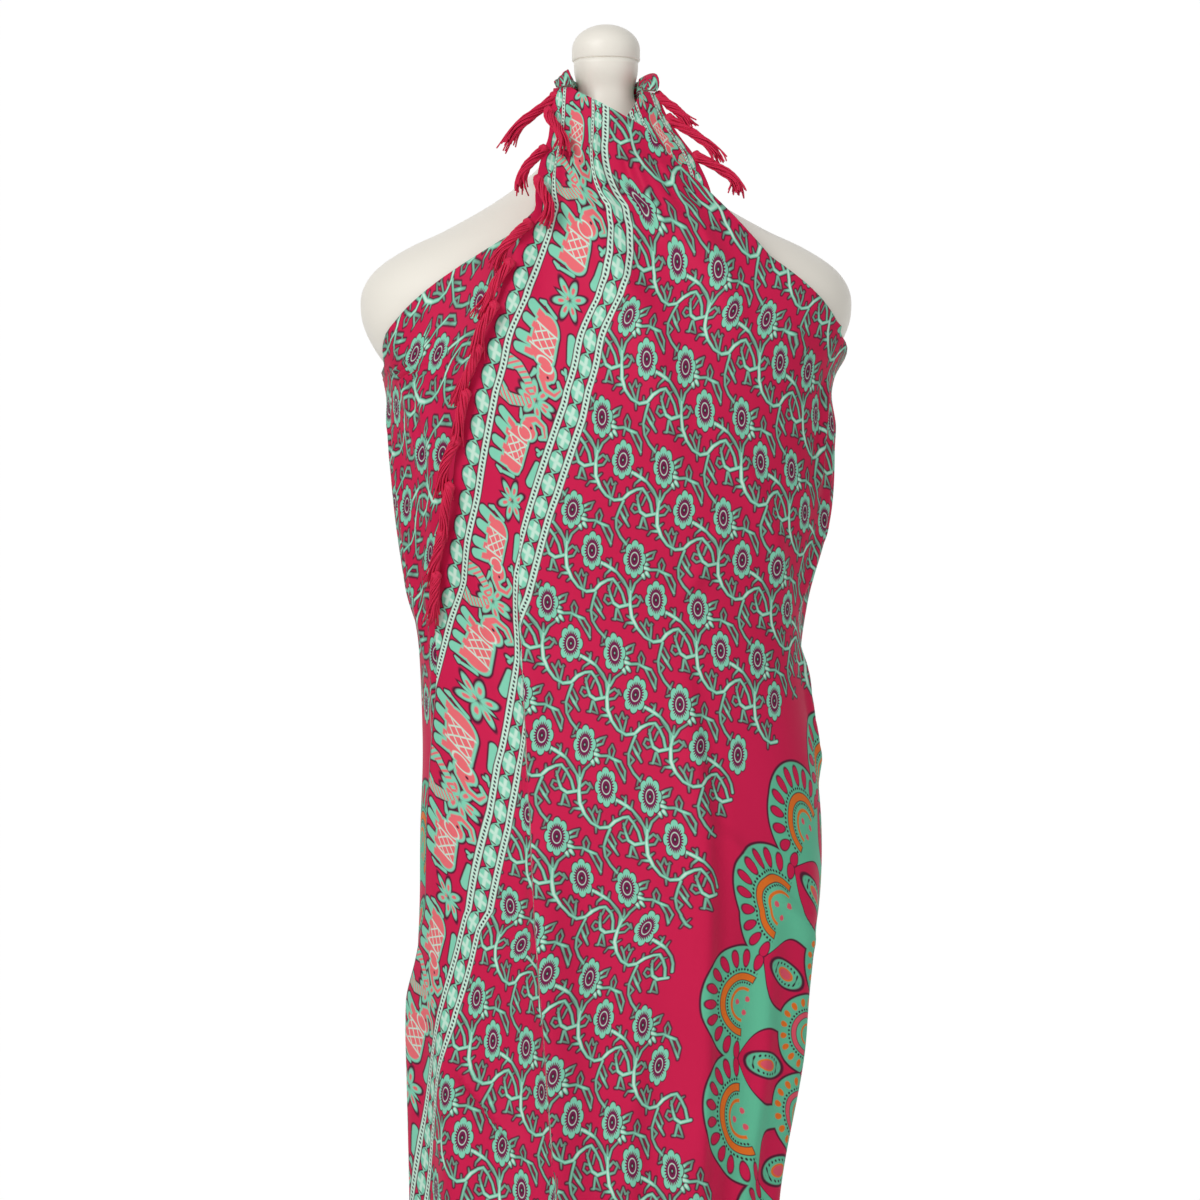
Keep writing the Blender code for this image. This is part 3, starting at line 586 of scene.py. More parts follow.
# %% A small language for prints
class Value:
    """A number that a material works out at each point."""

    def __init__(self, page, socket):
        self.page = page
        self.socket = socket

    def maths(self, operation, *others):
        """A Math node with this value first."""
        sockets = {0: self}
        sockets.update({place + 1: other for place, other in enumerate(others)})
        return self.page.add("ShaderNodeMath", sockets, operation=operation)

    def __add__(self, other):
        return self.maths("ADD", other)

    def __sub__(self, other):
        return self.maths("SUBTRACT", other)

    def __rsub__(self, other):
        return self.maths("MULTIPLY_ADD", -1.0, other)

    def __mul__(self, other):
        return self.maths("MULTIPLY", other)

    def __truediv__(self, other):
        return self.maths("DIVIDE", other)

    def __abs__(self):
        return self.maths("ABSOLUTE")

    def scaled(self, factor, offset):
        """This value times a factor, plus an offset."""
        return self.maths("MULTIPLY_ADD", factor, offset)

    def held(self):
        """This value held between 0 and 1."""
        return self.page.add("ShaderNodeClamp", {0: self})

    def lowest(self, other):
        """The lower of two values."""
        return self.maths("MINIMUM", other)

    def highest(self, other):
        """The higher of two values."""
        return self.maths("MAXIMUM", other)

    def below(self, other):
        """1 where this is below the other, and 0 elsewhere."""
        return self.maths("LESS_THAN", other)

    def wrapped(self, period):
        """This value brought between minus and plus half a period."""
        return self.maths("WRAP", period / 2.0, -period / 2.0)

    def cosine(self):
        """The cosine, of radians."""
        return self.maths("COSINE")

    def sine(self):
        """The sine, of radians."""
        return self.maths("SINE")

    def cover(self, edge=0.0, soft=0.9):
        """Ink where this distance is below an edge."""
        return self.scaled(-1.0 / soft, edge / soft + 0.5).held()


def nearest_of(distances):
    """The smallest of several distances."""
    return reduce(Value.lowest, distances)


class Page:
    """The nodes of one material."""

    def __init__(self, made):
        self.tree = made.node_tree

    def put(self, place, value):
        """Link a value or set a constant."""
        if isinstance(value, Value):
            self.tree.links.new(value.socket, place)
        elif hasattr(place.default_value, "__len__") and len(place.default_value) == 4:
            place.default_value = (*value, 1.0)
        else:
            place.default_value = value

    def add(self, kind, sockets, output=0, **settings):
        """Add one node with its settings and sockets, and give its output."""
        made = self.tree.nodes.new(kind)
        for name, setting in settings.items():
            setattr(made, name, setting)
        for place, value in sockets.items():
            self.put(made.inputs[place], value)
        return Value(self, made.outputs[output])

    def pair(self, first, second):
        """Two values as a point."""
        return self.add("ShaderNodeCombineXYZ", {0: first, 1: second})

    def part(self, point, place):
        """One coordinate of a point."""
        return self.add("ShaderNodeSeparateXYZ", {0: point}, output=place)

    def vectors(self, operation, *values, output=0):
        """A Vector Math node."""
        return self.add("ShaderNodeVectorMath", dict(enumerate(values)), output=output,
                        operation=operation)

    def length(self, first, second):
        """The length of a pair."""
        return self.vectors("LENGTH", self.pair(first, second), output=1)

    def ink(self, ground, amount, colour):
        """Lay a colour over the ground."""
        return self.add("ShaderNodeMix", {0: amount, 6: ground, 7: colour}, output=2,
                        data_type="RGBA")

    def nearest_on(self, point, start, step):
        """How far along a stroke the spot nearest to a point is, and the distance to it."""
        square = step[0] ** 2 + step[1] ** 2
        near = self.vectors("SUBTRACT", point, start)
        share = self.vectors("DOT_PRODUCT", near, (step[0] / square, step[1] / square, 0.0),
                             output=1)
        share = share.held()
        spot = self.add("ShaderNodeVectorMath", {0: step, 3: share}, operation="SCALE")
        return share, self.vectors("DISTANCE", near, spot, output=1)

    def lines(self, point, strokes, pen):
        """The distance to thin strokes. A half width below the pen's lifts the stroke's end
        out of the page, so that it looks thinner there."""
        nearest = None
        for start_x, start_y, end_x, end_y, start_half, end_half in strokes:
            rises = [sqrt(max(pen ** 2 - half ** 2, 0.0)) for half in (start_half, end_half)]
            step = (end_x - start_x, end_y - start_y, rises[1] - rises[0])
            distance = self.nearest_on(point, (start_x, start_y, rises[0]), step)[1]
            nearest = distance if nearest is None else nearest.lowest(distance)
        return nearest - pen

    def limbs(self, point, strokes):
        """The distance to thick tapered strokes."""
        nearest = None
        for start_x, start_y, end_x, end_y, start_half, end_half in strokes:
            step = (end_x - start_x, end_y - start_y, 0.0)
            share, distance = self.nearest_on(point, (start_x, start_y, 0.0), step)
            distance = distance - share.scaled(end_half - start_half, start_half)
            nearest = distance if nearest is None else nearest.lowest(distance)
        return nearest


print("shapes are drawn from strokes and rings")

# %% [markdown]
# ## Inks
# Colours are named here as a screen shows them and turned into the amounts of light that
# a material needs.

# %% Inks
def ink_colour(red, green, blue):
    """A colour from numbers of 0 to 255 as a screen shows it."""
    parts = [value / 255.0 for value in (red, green, blue)]
    return tuple(value / 12.92 if value <= 0.04045 else ((value + 0.055) / 1.055) ** 2.4
                 for value in parts)


CRIMSON = ink_colour(210, 15, 76)
MINT = ink_colour(132, 214, 184)
PALE = ink_colour(204, 238, 220)
PURPLE = ink_colour(116, 20, 74)
DARK = ink_colour(84, 12, 48)
BLACK = ink_colour(46, 20, 40)
SALMON = ink_colour(240, 110, 118)
ORANGE = ink_colour(230, 114, 28)
PINK = ink_colour(226, 84, 104)
GREEN = ink_colour(98, 194, 156)
print("print language ready")

# %% [markdown]
# ## The flower field
# Two flowers and a vine fill a cell 60 mm along the cloth and 86.5 mm down it, which
# repeats over the whole field. The vine is drawn in four groups, each repeated about its
# own middle, so that no stroke is cut at a cell's edge.
# The drawing's own units lean against the cloth's: one is about 0.87 mm.

# %% Strokes of the flower field
CELL_ALONG = 60.0
CELL_DOWN = 86.5
FIELD_START = (113.0, 68.5)
ROW_STEP = (69.0, 51.0)
COLUMN_STEP = (-26.0, 93.0)
CELL_AREA = ROW_STEP[0] * COLUMN_STEP[1] - ROW_STEP[1] * COLUMN_STEP[0]
FLOWER_GAP = (23.5, 42.0)
FLOWER_HALF = (11.6, 19.2)
VINE_PEN = 2.3
FLOWER_TWIG = (
    # start x, y, end x, y, half width at the start and the end
    (11, 9, 17, 11, 2.3, 1.7), (17, 11, 25, 11, 1.6, 1.6), (25, 11, 33, 15, 1.6, 1.9),
    (33, 15, 39, 17, 2.0, 1.6), (33, 16, 38, 26, 1.6, 1.2), (38, 26, 43, 35, 1.3, 1.7),
    (39, 17, 44, 26, 1.4, 1.5), (44, 26, 43, 37, 1.5, 1.0), (26, 12, 24, 18, 1.5, 1.1),
    (27, 11, 26, 5, 1.4, 1.2), (26, 5, 29, 0, 1.2, 1.0), (29, 0, 32, 6, 1.1, 1.2),
    (32, 6, 30, 13, 1.2, 1.4), (11, -3, 16, -6, 2.1, 1.4), (16, -6, 22, -8, 1.5, 1.0),
    (21, -7, 19, -1, 1.1, 1.3), (19, -1, 12, 1, 1.4, 1.8), (13, 14, 16, 18, 2.3, 1.5),
    (9, 16, 11, 20, 2.3, 1.4), (12, 5, 15, 6, 2.2, 1.2), (-14, -8, -10, -9, 1.0, 1.5),
)
SECOND_TWIG = (
    (30, 53, 37, 56, 2.3, 1.9), (37, 56, 44, 60, 2.2, 2.1), (44, 60, 50, 64, 2.2, 1.7),
    (50, 64, 58, 73, 1.7, 1.5), (58, 73, 62, 81, 1.5, 1.6), (62, 81, 64, 90, 1.6, 1.8),
    (43, 58, 44, 51, 1.8, 1.0), (44, 54, 40, 51, 1.3, 0.9), (44, 61, 38, 66, 1.8, 1.2),
    (38, 66, 37, 69, 1.2, 0.9), (49, 63, 51, 56, 1.5, 0.9), (34, 54, 33, 59, 1.6, 1.0),
)
MAIN_STEM = (
    (-17, 17, -9, 27, 1.0, 1.4), (-9, 27, -4, 33, 1.4, 1.8), (9, 18, 1, 25, 1.4, 1.5),
    (1, 25, -3, 34, 1.5, 1.8), (-4, 22, -4, 30, 1.0, 1.6), (-4, 33, -5, 45, 2.0, 2.1),
    (-5, 45, -4, 58, 2.2, 2.3), (-4, 58, 1, 69, 2.3, 2.1), (1, 69, 8, 78, 2.0, 1.8),
    (8, 78, 17, 83, 1.8, 1.8), (17, 83, 26, 82, 1.9, 2.1), (-3, 41, 2, 37, 1.7, 1.3),
    (2, 37, 7, 41, 1.4, 1.3), (7, 41, 3, 47, 1.3, 1.4), (3, 47, -3, 48, 1.4, 1.6),
    (6, 38, 9, 43, 1.3, 1.1), (-3, 60, -9, 57, 2.0, 1.0), (-3, 60, 2, 56, 1.8, 0.9),
    (-3, 64, -10, 64, 2.0, 1.2), (-10, 64, -13, 68, 1.2, 0.9), (0, 69, -4, 72, 1.6, 0.9),
    (13, 80, 9, 70, 1.5, 1.4), (9, 70, 5, 64, 1.5, 1.3), (14, 80, 16, 71, 1.4, 1.4),
    (16, 71, 17, 65, 1.4, 1.0), (9, 68, 12, 61, 1.3, 1.1), (12, 61, 14, 67, 1.1, 1.3),
    (14, 67, 18, 66, 1.3, 1.0), (13, 83, 13, 88, 1.4, 0.9), (22, 81, 22, 77, 1.3, 0.9),
)
ROSETTE = (
    (27, 81, 32, 76, 2.1, 2.3), (32, 76, 40, 72, 2.2, 1.8), (40, 72, 46, 71, 1.9, 1.8),
    (46, 71, 51, 77, 1.8, 1.7), (51, 77, 56, 86, 1.7, 1.7), (56, 86, 59, 97, 1.7, 1.8),
    (62, 97, 52, 99, 2.0, 2.1), (52, 99, 46, 95, 2.1, 2.0), (46, 95, 43, 87, 1.9, 1.7),
    (43, 87, 41, 78, 1.6, 1.3), (45, 73, 41, 82, 1.3, 1.3), (50, 80, 47, 88, 1.4, 1.2),
    (44, 89, 38, 87, 1.2, 1.3), (38, 87, 36, 92, 1.3, 1.3), (36, 92, 40, 96, 1.3, 1.3),
    (40, 96, 45, 94, 1.3, 1.4), (49, 101, 47, 111, 1.6, 1.6), (47, 111, 44, 111, 1.6, 1.0),
    (50, 101, 53, 108, 1.6, 1.3), (53, 108, 55, 113, 1.4, 1.0), (55, 113, 49, 111, 1.0, 1.2),
    (31, 77, 30, 71, 1.6, 0.9), (50, 76, 54, 74, 1.5, 0.8),
    (27, 84, 24, 92, 1.8, 1.7), (24, 92, 21, 102, 1.7, 1.6), (21, 102, 22, 112, 1.6, 1.5),
    (22, 112, 27, 121, 1.5, 1.6), (27, 121, 34, 129, 1.6, 1.7), (34, 129, 39, 132, 1.7, 1.5),
    (24, 93, 29, 101, 1.3, 1.8), (29, 101, 35, 110, 1.9, 1.3), (33, 99, 31, 104, 0.9, 1.5),
    (28, 89, 33, 99, 1.1, 1.5), (22, 103, 27, 108, 1.3, 1.4), (27, 108, 23, 113, 1.4, 1.3),
    (33, 128, 36, 123, 1.4, 0.9), (32, 127, 30, 133, 1.2, 0.8), (21, 102, 17, 102, 1.3, 0.8),
)
print("strokes in a cell:", len(FLOWER_TWIG + SECOND_TWIG + MAIN_STEM + ROSETTE))

# %% [markdown]
# ## The repeat of the field
# A point is moved into the nearest cell, so that each stroke is drawn only once.
# Flowers and groups of strokes whose middle is too near the round design are left out.

# %% The field
def cell_point(page, along, down, middle):
    """A point in the drawing's units, repeated about a middle, and that cell's place."""
    columns = (COLUMN_STEP[1] * middle[0] - COLUMN_STEP[0] * middle[1]) / CELL_AREA
    rows = (ROW_STEP[0] * middle[1] - ROW_STEP[1] * middle[0]) / CELL_AREA
    centre = (FIELD_START[0] + columns * CELL_ALONG, FIELD_START[1] + rows * CELL_DOWN)
    near_along = (along - centre[0]).wrapped(CELL_ALONG)
    near_down = (down - centre[1]).wrapped(CELL_DOWN)
    x = near_along.scaled(ROW_STEP[0] / CELL_ALONG,
                          near_down.scaled(COLUMN_STEP[0] / CELL_DOWN, middle[0]))
    y = near_along.scaled(ROW_STEP[1] / CELL_ALONG,
                          near_down.scaled(COLUMN_STEP[1] / CELL_DOWN, middle[1]))
    place = page.length(along - near_along - CENTRE_ALONG, down - near_down - CENTRE_DOWN)
    return page.pair(x, y), place


def flower_colour(page, ground, along, down):
    """The field's two flowers, drawn as one from whichever is the nearer."""
    first, first_place = cell_point(page, along, down, (0.0, 0.0))
    second, second_place = cell_point(page, along, down, FLOWER_GAP)
    shrink = (1.0 / FLOWER_HALF[0], 1.0 / FLOWER_HALF[1], 0.0)
    first = page.vectors("MULTIPLY", first, shrink)
    second = page.vectors("SUBTRACT", second, (*FLOWER_GAP, 0.0))
    second = page.vectors("MULTIPLY", second, shrink)
    first_out = page.vectors("LENGTH", first, output=1)
    first_out = first_out + first_place.below(FIELD_END) * 9.0
    second_out = page.vectors("LENGTH", second, output=1)
    second_out = second_out + second_place.below(FIELD_END) * 9.0
    nearer = second_out.below(first_out)
    point = page.add("ShaderNodeMix", {0: nearer, 4: first, 5: second}, output=1,
                     data_type="VECTOR")
    out = first_out.lowest(second_out)
    turn = page.part(point, 1).maths("ARCTAN2", page.part(point, 0))
    lobes = abs((turn * 4.0).cosine()).maths("SQRT").scaled(-0.24, -0.77) + out
    teeth = (turn * 26.0).cosine().scaled(-0.085, -0.64) + out
    colour = page.ink(ground, lobes.cover(0.075, 0.06), DARK)
    colour = page.ink(colour, lobes.cover(0.0, 0.06), MINT)
    colour = page.ink(colour, teeth.cover(0.0, 0.06), PURPLE)
    colour = page.ink(colour, abs(out - 0.36).cover(0.026, 0.05), PALE)
    colour = page.ink(colour, out.cover(0.17, 0.06), DARK)
    return page.ink(colour, out.cover(0.05, 0.06), MINT)


def field_colour(page, along, down, ground):
    """The vine in its four groups, with the flowers over it."""
    nearest = None
    for strokes, middle in ((FLOWER_TWIG, (16.0, 7.0)), (SECOND_TWIG, (46.0, 66.0)),
                            (MAIN_STEM, (2.0, 55.0)), (ROSETTE, (40.0, 98.0))):
        point, place = cell_point(page, along, down, middle)
        distance = page.lines(point, strokes, VINE_PEN) + place.below(FIELD_END) * 99.0
        nearest = distance if nearest is None else nearest.lowest(distance)
    colour = page.ink(ground, nearest.cover(0.75, 1.0), DARK)
    colour = page.ink(colour, nearest.cover(-0.35, 0.9), MINT)
    colour = page.ink(colour, nearest.cover(-1.2, 0.9), PALE)
    return flower_colour(page, colour, along, down)


print("cell:", CELL_ALONG, "by", CELL_DOWN, "mm")

# %% [markdown]
# ## The border
# It runs along the short edges: a row of beads, a dotted line, a band of elephants and
# palms, and a second row of beads between two dotted lines. Distances are in millimetres.
# Every second elephant and palm is turned round.

# %% Border
DOTTED_LINES = (23.5, 79.0, 97.0)
BEAD_ROWS = (14.4, 88.0)
BEAD_STEP = 21.6
BORDER_WIDTH = 100.3
ANIMAL_STEP = 89.0
PALM_HEIGHT = 34.0
PALM_LEAVES = 7.0
ELEPHANT = (
    # start x, y, end x, y, half width at the start and the end
    (-12, 27, 7, 28, 12.0, 11.0), (-18, 20, -20, 8, 5.2, 4.2), (-8, 18, -8, 8, 4.6, 3.8),
    (5, 18, 7, 8, 4.6, 3.9), (13, 20, 17, 9, 4.6, 3.7), (18, 35, 20, 34, 8.6, 7.6),
    (25, 32, 31, 38, 4.4, 3.8), (31, 38, 30, 46, 3.8, 3.2), (30, 46, 23, 50, 3.2, 2.6),
    (23, 50, 19, 46, 2.5, 1.6), (24, 26, 30, 24, 1.9, 0.9), (-25, 30, -28, 18, 1.5, 1.2),
    (-28, 17, -27, 13, 2.1, 1.0),
)
PALM_TRUNK = (
    (-13, 3, -14, 13, 4.6, 4.2), (-14, 13, -9, 23, 4.2, 3.6), (-9, 23, -1, 31, 3.6, 2.6),
)
LEAF_SPRAYS = (
    (-20, 49, -2, 51, 3.6, 2.6), (-17, 49, -19, 54, 1.6, 0.8), (-11, 50, -13, 55, 1.6, 0.8),
    (-5, 50, -7, 55, 1.5, 0.8), (6, 49, 12, 52, 1.4, 0.8), (9, 47, 9, 54, 1.3, 0.8),
    (35, 8, 30, 4, 1.6, 1.0), (35, 8, 38, 3, 1.6, 1.0), (35, 8, 31, 12, 1.6, 1.0),
)
print("strokes of the elephant:", len(ELEPHANT))

# %% [markdown]
# ## Drawing the border
# Beads and dotted lines come from the nearest row. The animals and palms are thick
# strokes with a green outline, and their finer lines are held inside them.

# %% The border
def border_colour(page, along, down, ground):
    """The whole border, from the distance along the cloth and down it."""
    line = nearest_of(abs(along - place) for place in DOTTED_LINES)
    bead_across = nearest_of(abs(along - place) for place in BEAD_ROWS)
    bead_down = down.wrapped(BEAD_STEP)
    bead = page.length(bead_across * 1.32, bead_down) - 8.4
    bow_down = abs((down + BEAD_STEP / 2.0).wrapped(BEAD_STEP))
    bow = (bead_across - bow_down.scaled(0.95, 0.5)).highest(bow_down - 4.2)
    shape = bead.lowest(bow)
    colour = page.ink(ground, shape.cover(1.5, 0.9), DARK)
    colour = page.ink(colour, shape.cover(0.0, 0.9), MINT)
    cross = bead_across.lowest(abs(bead_down)).highest(bead + 2.6)
    colour = page.ink(colour, cross.cover(1.5, 1.4), PALE)
    colour = page.ink(colour, bow.highest(1.4 - bow_down).cover(-0.9, 0.9), DARK)

    turned = down.wrapped(2.0 * ANIMAL_STEP).below(0.0).scaled(2.0, -1.0)
    height = along - DOTTED_LINES[0]
    forward = (down + ANIMAL_STEP / 2.0).wrapped(ANIMAL_STEP) * turned
    point = page.pair(forward, height)
    animal = page.limbs(point, ELEPHANT)
    leaves = page.limbs(point, LEAF_SPRAYS)
    palm_forward = down.wrapped(ANIMAL_STEP) * turned
    palm_point = page.pair(palm_forward, height)
    trunk = page.limbs(palm_point, PALM_TRUNK)
    star_y = height - PALM_HEIGHT
    star_out = page.length(palm_forward, star_y)
    star_turn = star_y.maths("ARCTAN2", palm_forward).wrapped(tau / PALM_LEAVES)
    leaf_x = (star_out * star_turn.cosine()).scaled(1.0 / 7.2, -8.6 / 7.2)
    leaf_y = star_out * star_turn.sine() * (1.0 / 3.0)
    star = (page.length(leaf_x, leaf_y) - 1.0) * 3.0
    shape = animal.lowest(leaves).lowest(trunk).lowest(star)
    band = abs(along - (DOTTED_LINES[0] + DOTTED_LINES[1]) / 2.0) - 26.0
    inside = band.cover(0.0, 0.5)
    colour = page.ink(colour, shape.cover(1.4, 0.9) * inside, DARK)
    colour = page.ink(colour, shape.cover(0.0, 0.9) * inside, MINT)
    flesh = animal.highest(13.0 - height)
    colour = page.ink(colour, flesh.cover(-2.0, 1.0) * inside, SALMON)
    blanket = abs(abs(forward + 3.0) - 9.0).highest(abs(height - 28.0) - 10.0)
    weave = abs((forward + height).wrapped(8.0)).lowest(abs((forward - height).wrapped(8.0)))
    weave = weave.highest(abs(forward + 3.0) - 8.0).highest(abs(height - 28.0) - 8.0)
    ear = abs(page.length((forward - 14.0) * 1.25, height - 32.0) - 6.6)
    details = blanket.lowest(weave).lowest(ear).highest(flesh + 2.0)
    colour = page.ink(colour, details.cover(0.7, 0.9), PALE)
    eye = page.length(forward - 21.5, height - 36.5)
    colour = page.ink(colour, eye.cover(1.1, 0.8), DARK)
    stripes = abs((height + palm_forward).wrapped(5.4)).highest(trunk + 1.2)
    colour = page.ink(colour, stripes.cover(1.1, 0.9), SALMON)
    colour = page.ink(colour, star.highest(star_out - 12.5).cover(-1.7, 0.8), SALMON)

    colour = page.ink(colour, line.cover(3.6, 0.8), DARK)
    colour = page.ink(colour, line.cover(2.7, 0.8), PALE)
    dots = page.length(line, down.wrapped(3.5))
    return page.ink(colour, dots.cover(1.05, 0.8), BLACK)


print("one elephant and one palm in", ANIMAL_STEP, "mm")

# %% [markdown]
# ## The round design
# Its middle is at the back. A ring of fans opens outwards, each with a smaller fan
# behind it, and drops stand between them. Inside are plainer rings of petals.
# The sums fold all directions onto one fan first, so that a single fan is drawn.

# %% Round design
CENTRE_ALONG = CLOTH_LENGTH * 500.0
CENTRE_DOWN = 605.0
ROUND_RADIUS = 342.0
FIELD_END = ROUND_RADIUS + 22.0
FANS = 20
FAN_TURN = -0.035
# a fan's middle below the rim of the ring, its radius and the length of its foot
FAN = (52.0, 49.0, 15.0)
SECOND_FAN = (126.0, 33.5, 12.0)
# a drop's middle below the rim, its half width and its half length
DROP = (84.0, 10.0, 19.0)
SMALL_DROP = (150.0, 7.5, 14.0)
# a ring line's radius and half width
RING_LINES = ((249.0, 4.0), (150.0, 3.2), (62.0, 2.8))
# how many petals, their middle's radius, half length and half width
RING_PETALS = ((21, 218.0, 17.0, 13.0), (21, 173.0, 12.0, 9.0), (12, 106.0, 34.0, 17.0),
               (8, 34.0, 20.0, 9.0))
INSIDE_DEPTH = 176.0
print("rings of petals:", len(RING_PETALS))

# %% [markdown]
# ## Drawing the round design
# The large shapes are inked first and the small ones over them.

# %% The fans and rings
def fan_shape(page, across, depth, middle, radius, flank):
    """A fan's distance, its distance out from its own middle, and the turn round that."""
    out = page.length(across, depth - middle)
    turn = across.maths("ARCTAN2", middle - depth)
    fall = (depth - middle) / flank
    waist = radius * 0.17
    side = (fall * fall * -1.0).maths("EXPONENT").scaled(-(radius - waist), -waist) + abs(across)
    side = side.highest(depth - (middle + flank * 3.0))
    lower = depth.below(middle)
    distance = lower * (out - radius) + (1.0 - lower) * side
    return distance, out, turn


def dots_on_arc(page, out, turn, radius, step, size):
    """The distance to a row of dots on an arc."""
    return page.length(out - radius, turn.wrapped(step) * radius) - size


def drop_shape(page, across, depth, middle, half_width, half_length):
    """The distance to an upright oval."""
    x = across * (1.0 / half_width)
    return (page.length(x, (depth - middle) * (1.0 / half_length)) - 1.0) * half_width


def petals(page, out, turn, count, middle, half_length, half_width):
    """The distance to a ring of leaf-shaped petals round the middle."""
    near = turn.wrapped(tau / count)
    x = (out - middle) / half_length
    y = out * near.sine() * (1.0 / half_width)
    return (page.length(x, y) - 1.0) * half_width


def round_colour(page, along, down, ground):
    """The fans, the drops between them and the rings inside."""
    x = along - CENTRE_ALONG
    y = down - CENTRE_DOWN
    out = page.length(x, y)
    turn = y.maths("ARCTAN2", x)
    near = (turn + FAN_TURN).wrapped(tau / FANS)
    across = out * near.sine()
    depth = ROUND_RADIUS - out * near.cosine()
    far = (turn + (FAN_TURN + pi / FANS)).wrapped(tau / FANS)
    gap_across = out * far.sine()
    gap_depth = ROUND_RADIUS - out * far.cosine()

    fan, fan_out, fan_turn = fan_shape(page, across, depth, *FAN)
    second, second_out, second_turn = fan_shape(page, across, depth, *SECOND_FAN)
    drop = drop_shape(page, gap_across, gap_depth, *DROP)
    small = drop_shape(page, gap_across, gap_depth, *SMALL_DROP)
    shape = fan.lowest(second).lowest(drop).lowest(small)
    colour = page.ink(ground, shape.cover(1.9, 0.9), DARK)
    colour = page.ink(colour, shape.cover(0.0, 0.9), GREEN)

    facing = abs(fan_turn) - 1.75
    windows = page.length((fan_out - 39.0) * (1.0 / 6.6), fan_turn.wrapped(0.33) * 11.0)
    windows = ((windows - 1.0) * 4.0).highest(facing * 30.0)
    colour = page.ink(colour, windows.cover(0.9, 0.8), DARK)
    colour = page.ink(colour, windows.cover(0.0, 0.8), CRIMSON)
    arc = (abs(fan_out - 23.6) - 2.7).highest(facing * 20.0)
    colour = page.ink(colour, arc.cover(0.7, 0.7), BLACK)
    colour = page.ink(colour, arc.cover(0.0, 0.8), ORANGE)
    arc = (abs(fan_out - 13.6) - 1.3).highest(facing * 10.0)
    colour = page.ink(colour, arc.cover(0.0, 0.8), ORANGE)
    beads = dots_on_arc(page, fan_out, fan_turn, 29.6, 0.118, 1.05)
    beads = beads.lowest(dots_on_arc(page, fan_out, fan_turn, 18.6, 0.15, 0.9))
    beads = beads.highest(facing * 20.0)
    colour = page.ink(colour, beads.cover(0.0, 0.7), BLACK)
    colour = page.ink(colour, dots_on_arc(page, fan_out, fan_turn, 6.8, tau / 3.0, 2.4).cover(),
                      PINK)

    facing = abs(second_turn) - 1.7
    ovals = page.length((second_out - 27.0) * (1.0 / 3.6), second_turn.wrapped(0.36) * 11.0)
    ovals = ((ovals - 1.0) * 2.6).highest(facing * 20.0)
    colour = page.ink(colour, ovals.cover(0.0, 0.8), ORANGE)
    arc = (abs(second_out - 16.4) - 2.1).highest(facing * 14.0)
    colour = page.ink(colour, arc.cover(0.6, 0.7), BLACK)
    colour = page.ink(colour, arc.cover(0.0, 0.8), PINK)
    beads = dots_on_arc(page, second_out, second_turn, 21.0, 0.16, 0.95).highest(facing * 14.0)
    colour = page.ink(colour, beads.cover(0.0, 0.7), BLACK)
    arc = (abs(second_out - 8.2) - 1.0).highest(facing * 8.0)
    colour = page.ink(colour, arc.cover(0.0, 0.8), ORANGE)

    both = drop.lowest(small)
    border = page.length(both + 2.4, gap_depth.wrapped(4.2)) - 0.95
    colour = page.ink(colour, border.cover(0.0, 0.7), BLACK)
    colour = page.ink(colour, both.cover(-5.0, 0.7), ORANGE)
    colour = page.ink(colour, both.cover(-6.2, 0.7), PINK)

    wide = out * (RING_LINES[0][0] / (ROUND_RADIUS - INSIDE_DEPTH))
    inner = nearest_of(abs(wide - radius) - half for radius, half in RING_LINES)
    for ring in RING_PETALS:
        inner = inner.lowest(petals(page, wide, turn, *ring))
    colour = page.ink(colour, inner.cover(2.6, 1.3), DARK)
    colour = page.ink(colour, inner.cover(0.0, 1.3), GREEN)
    core = petals(page, wide, turn, 21, 220.0, 9.0, 5.0)
    core = core.lowest(petals(page, wide, turn, 12, 104.0, 20.0, 7.8))
    colour = page.ink(colour, core.cover(0.0, 1.2), ORANGE)
    core = petals(page, wide, turn, 12, 104.0, 12.0, 3.8)
    core = core.lowest(petals(page, wide, turn, 8, 34.0, 9.0, 3.6)).lowest(wide - 9.0)
    return page.ink(colour, core.cover(0.0, 0.8), PINK)


print("fans in the ring:", FANS)

# %% [markdown]
# ## Materials
# The printed cloth chooses between three finishes, one for each part of the print, so
# that only one of them is worked out at each point. All three share the cloth's fine
# grain. The fringe is the same crimson in twisted thread, the form is satin cream.

# %% Materials
def plain_material(name, colour, roughness):
    """A material with one colour."""
    made = bpy.data.materials.new(name)
    made.use_nodes = True
    shader = made.node_tree.nodes["Principled BSDF"]
    shader.inputs["Base Color"].default_value = (*colour, 1.0)
    shader.inputs["Roughness"].default_value = roughness
    return made


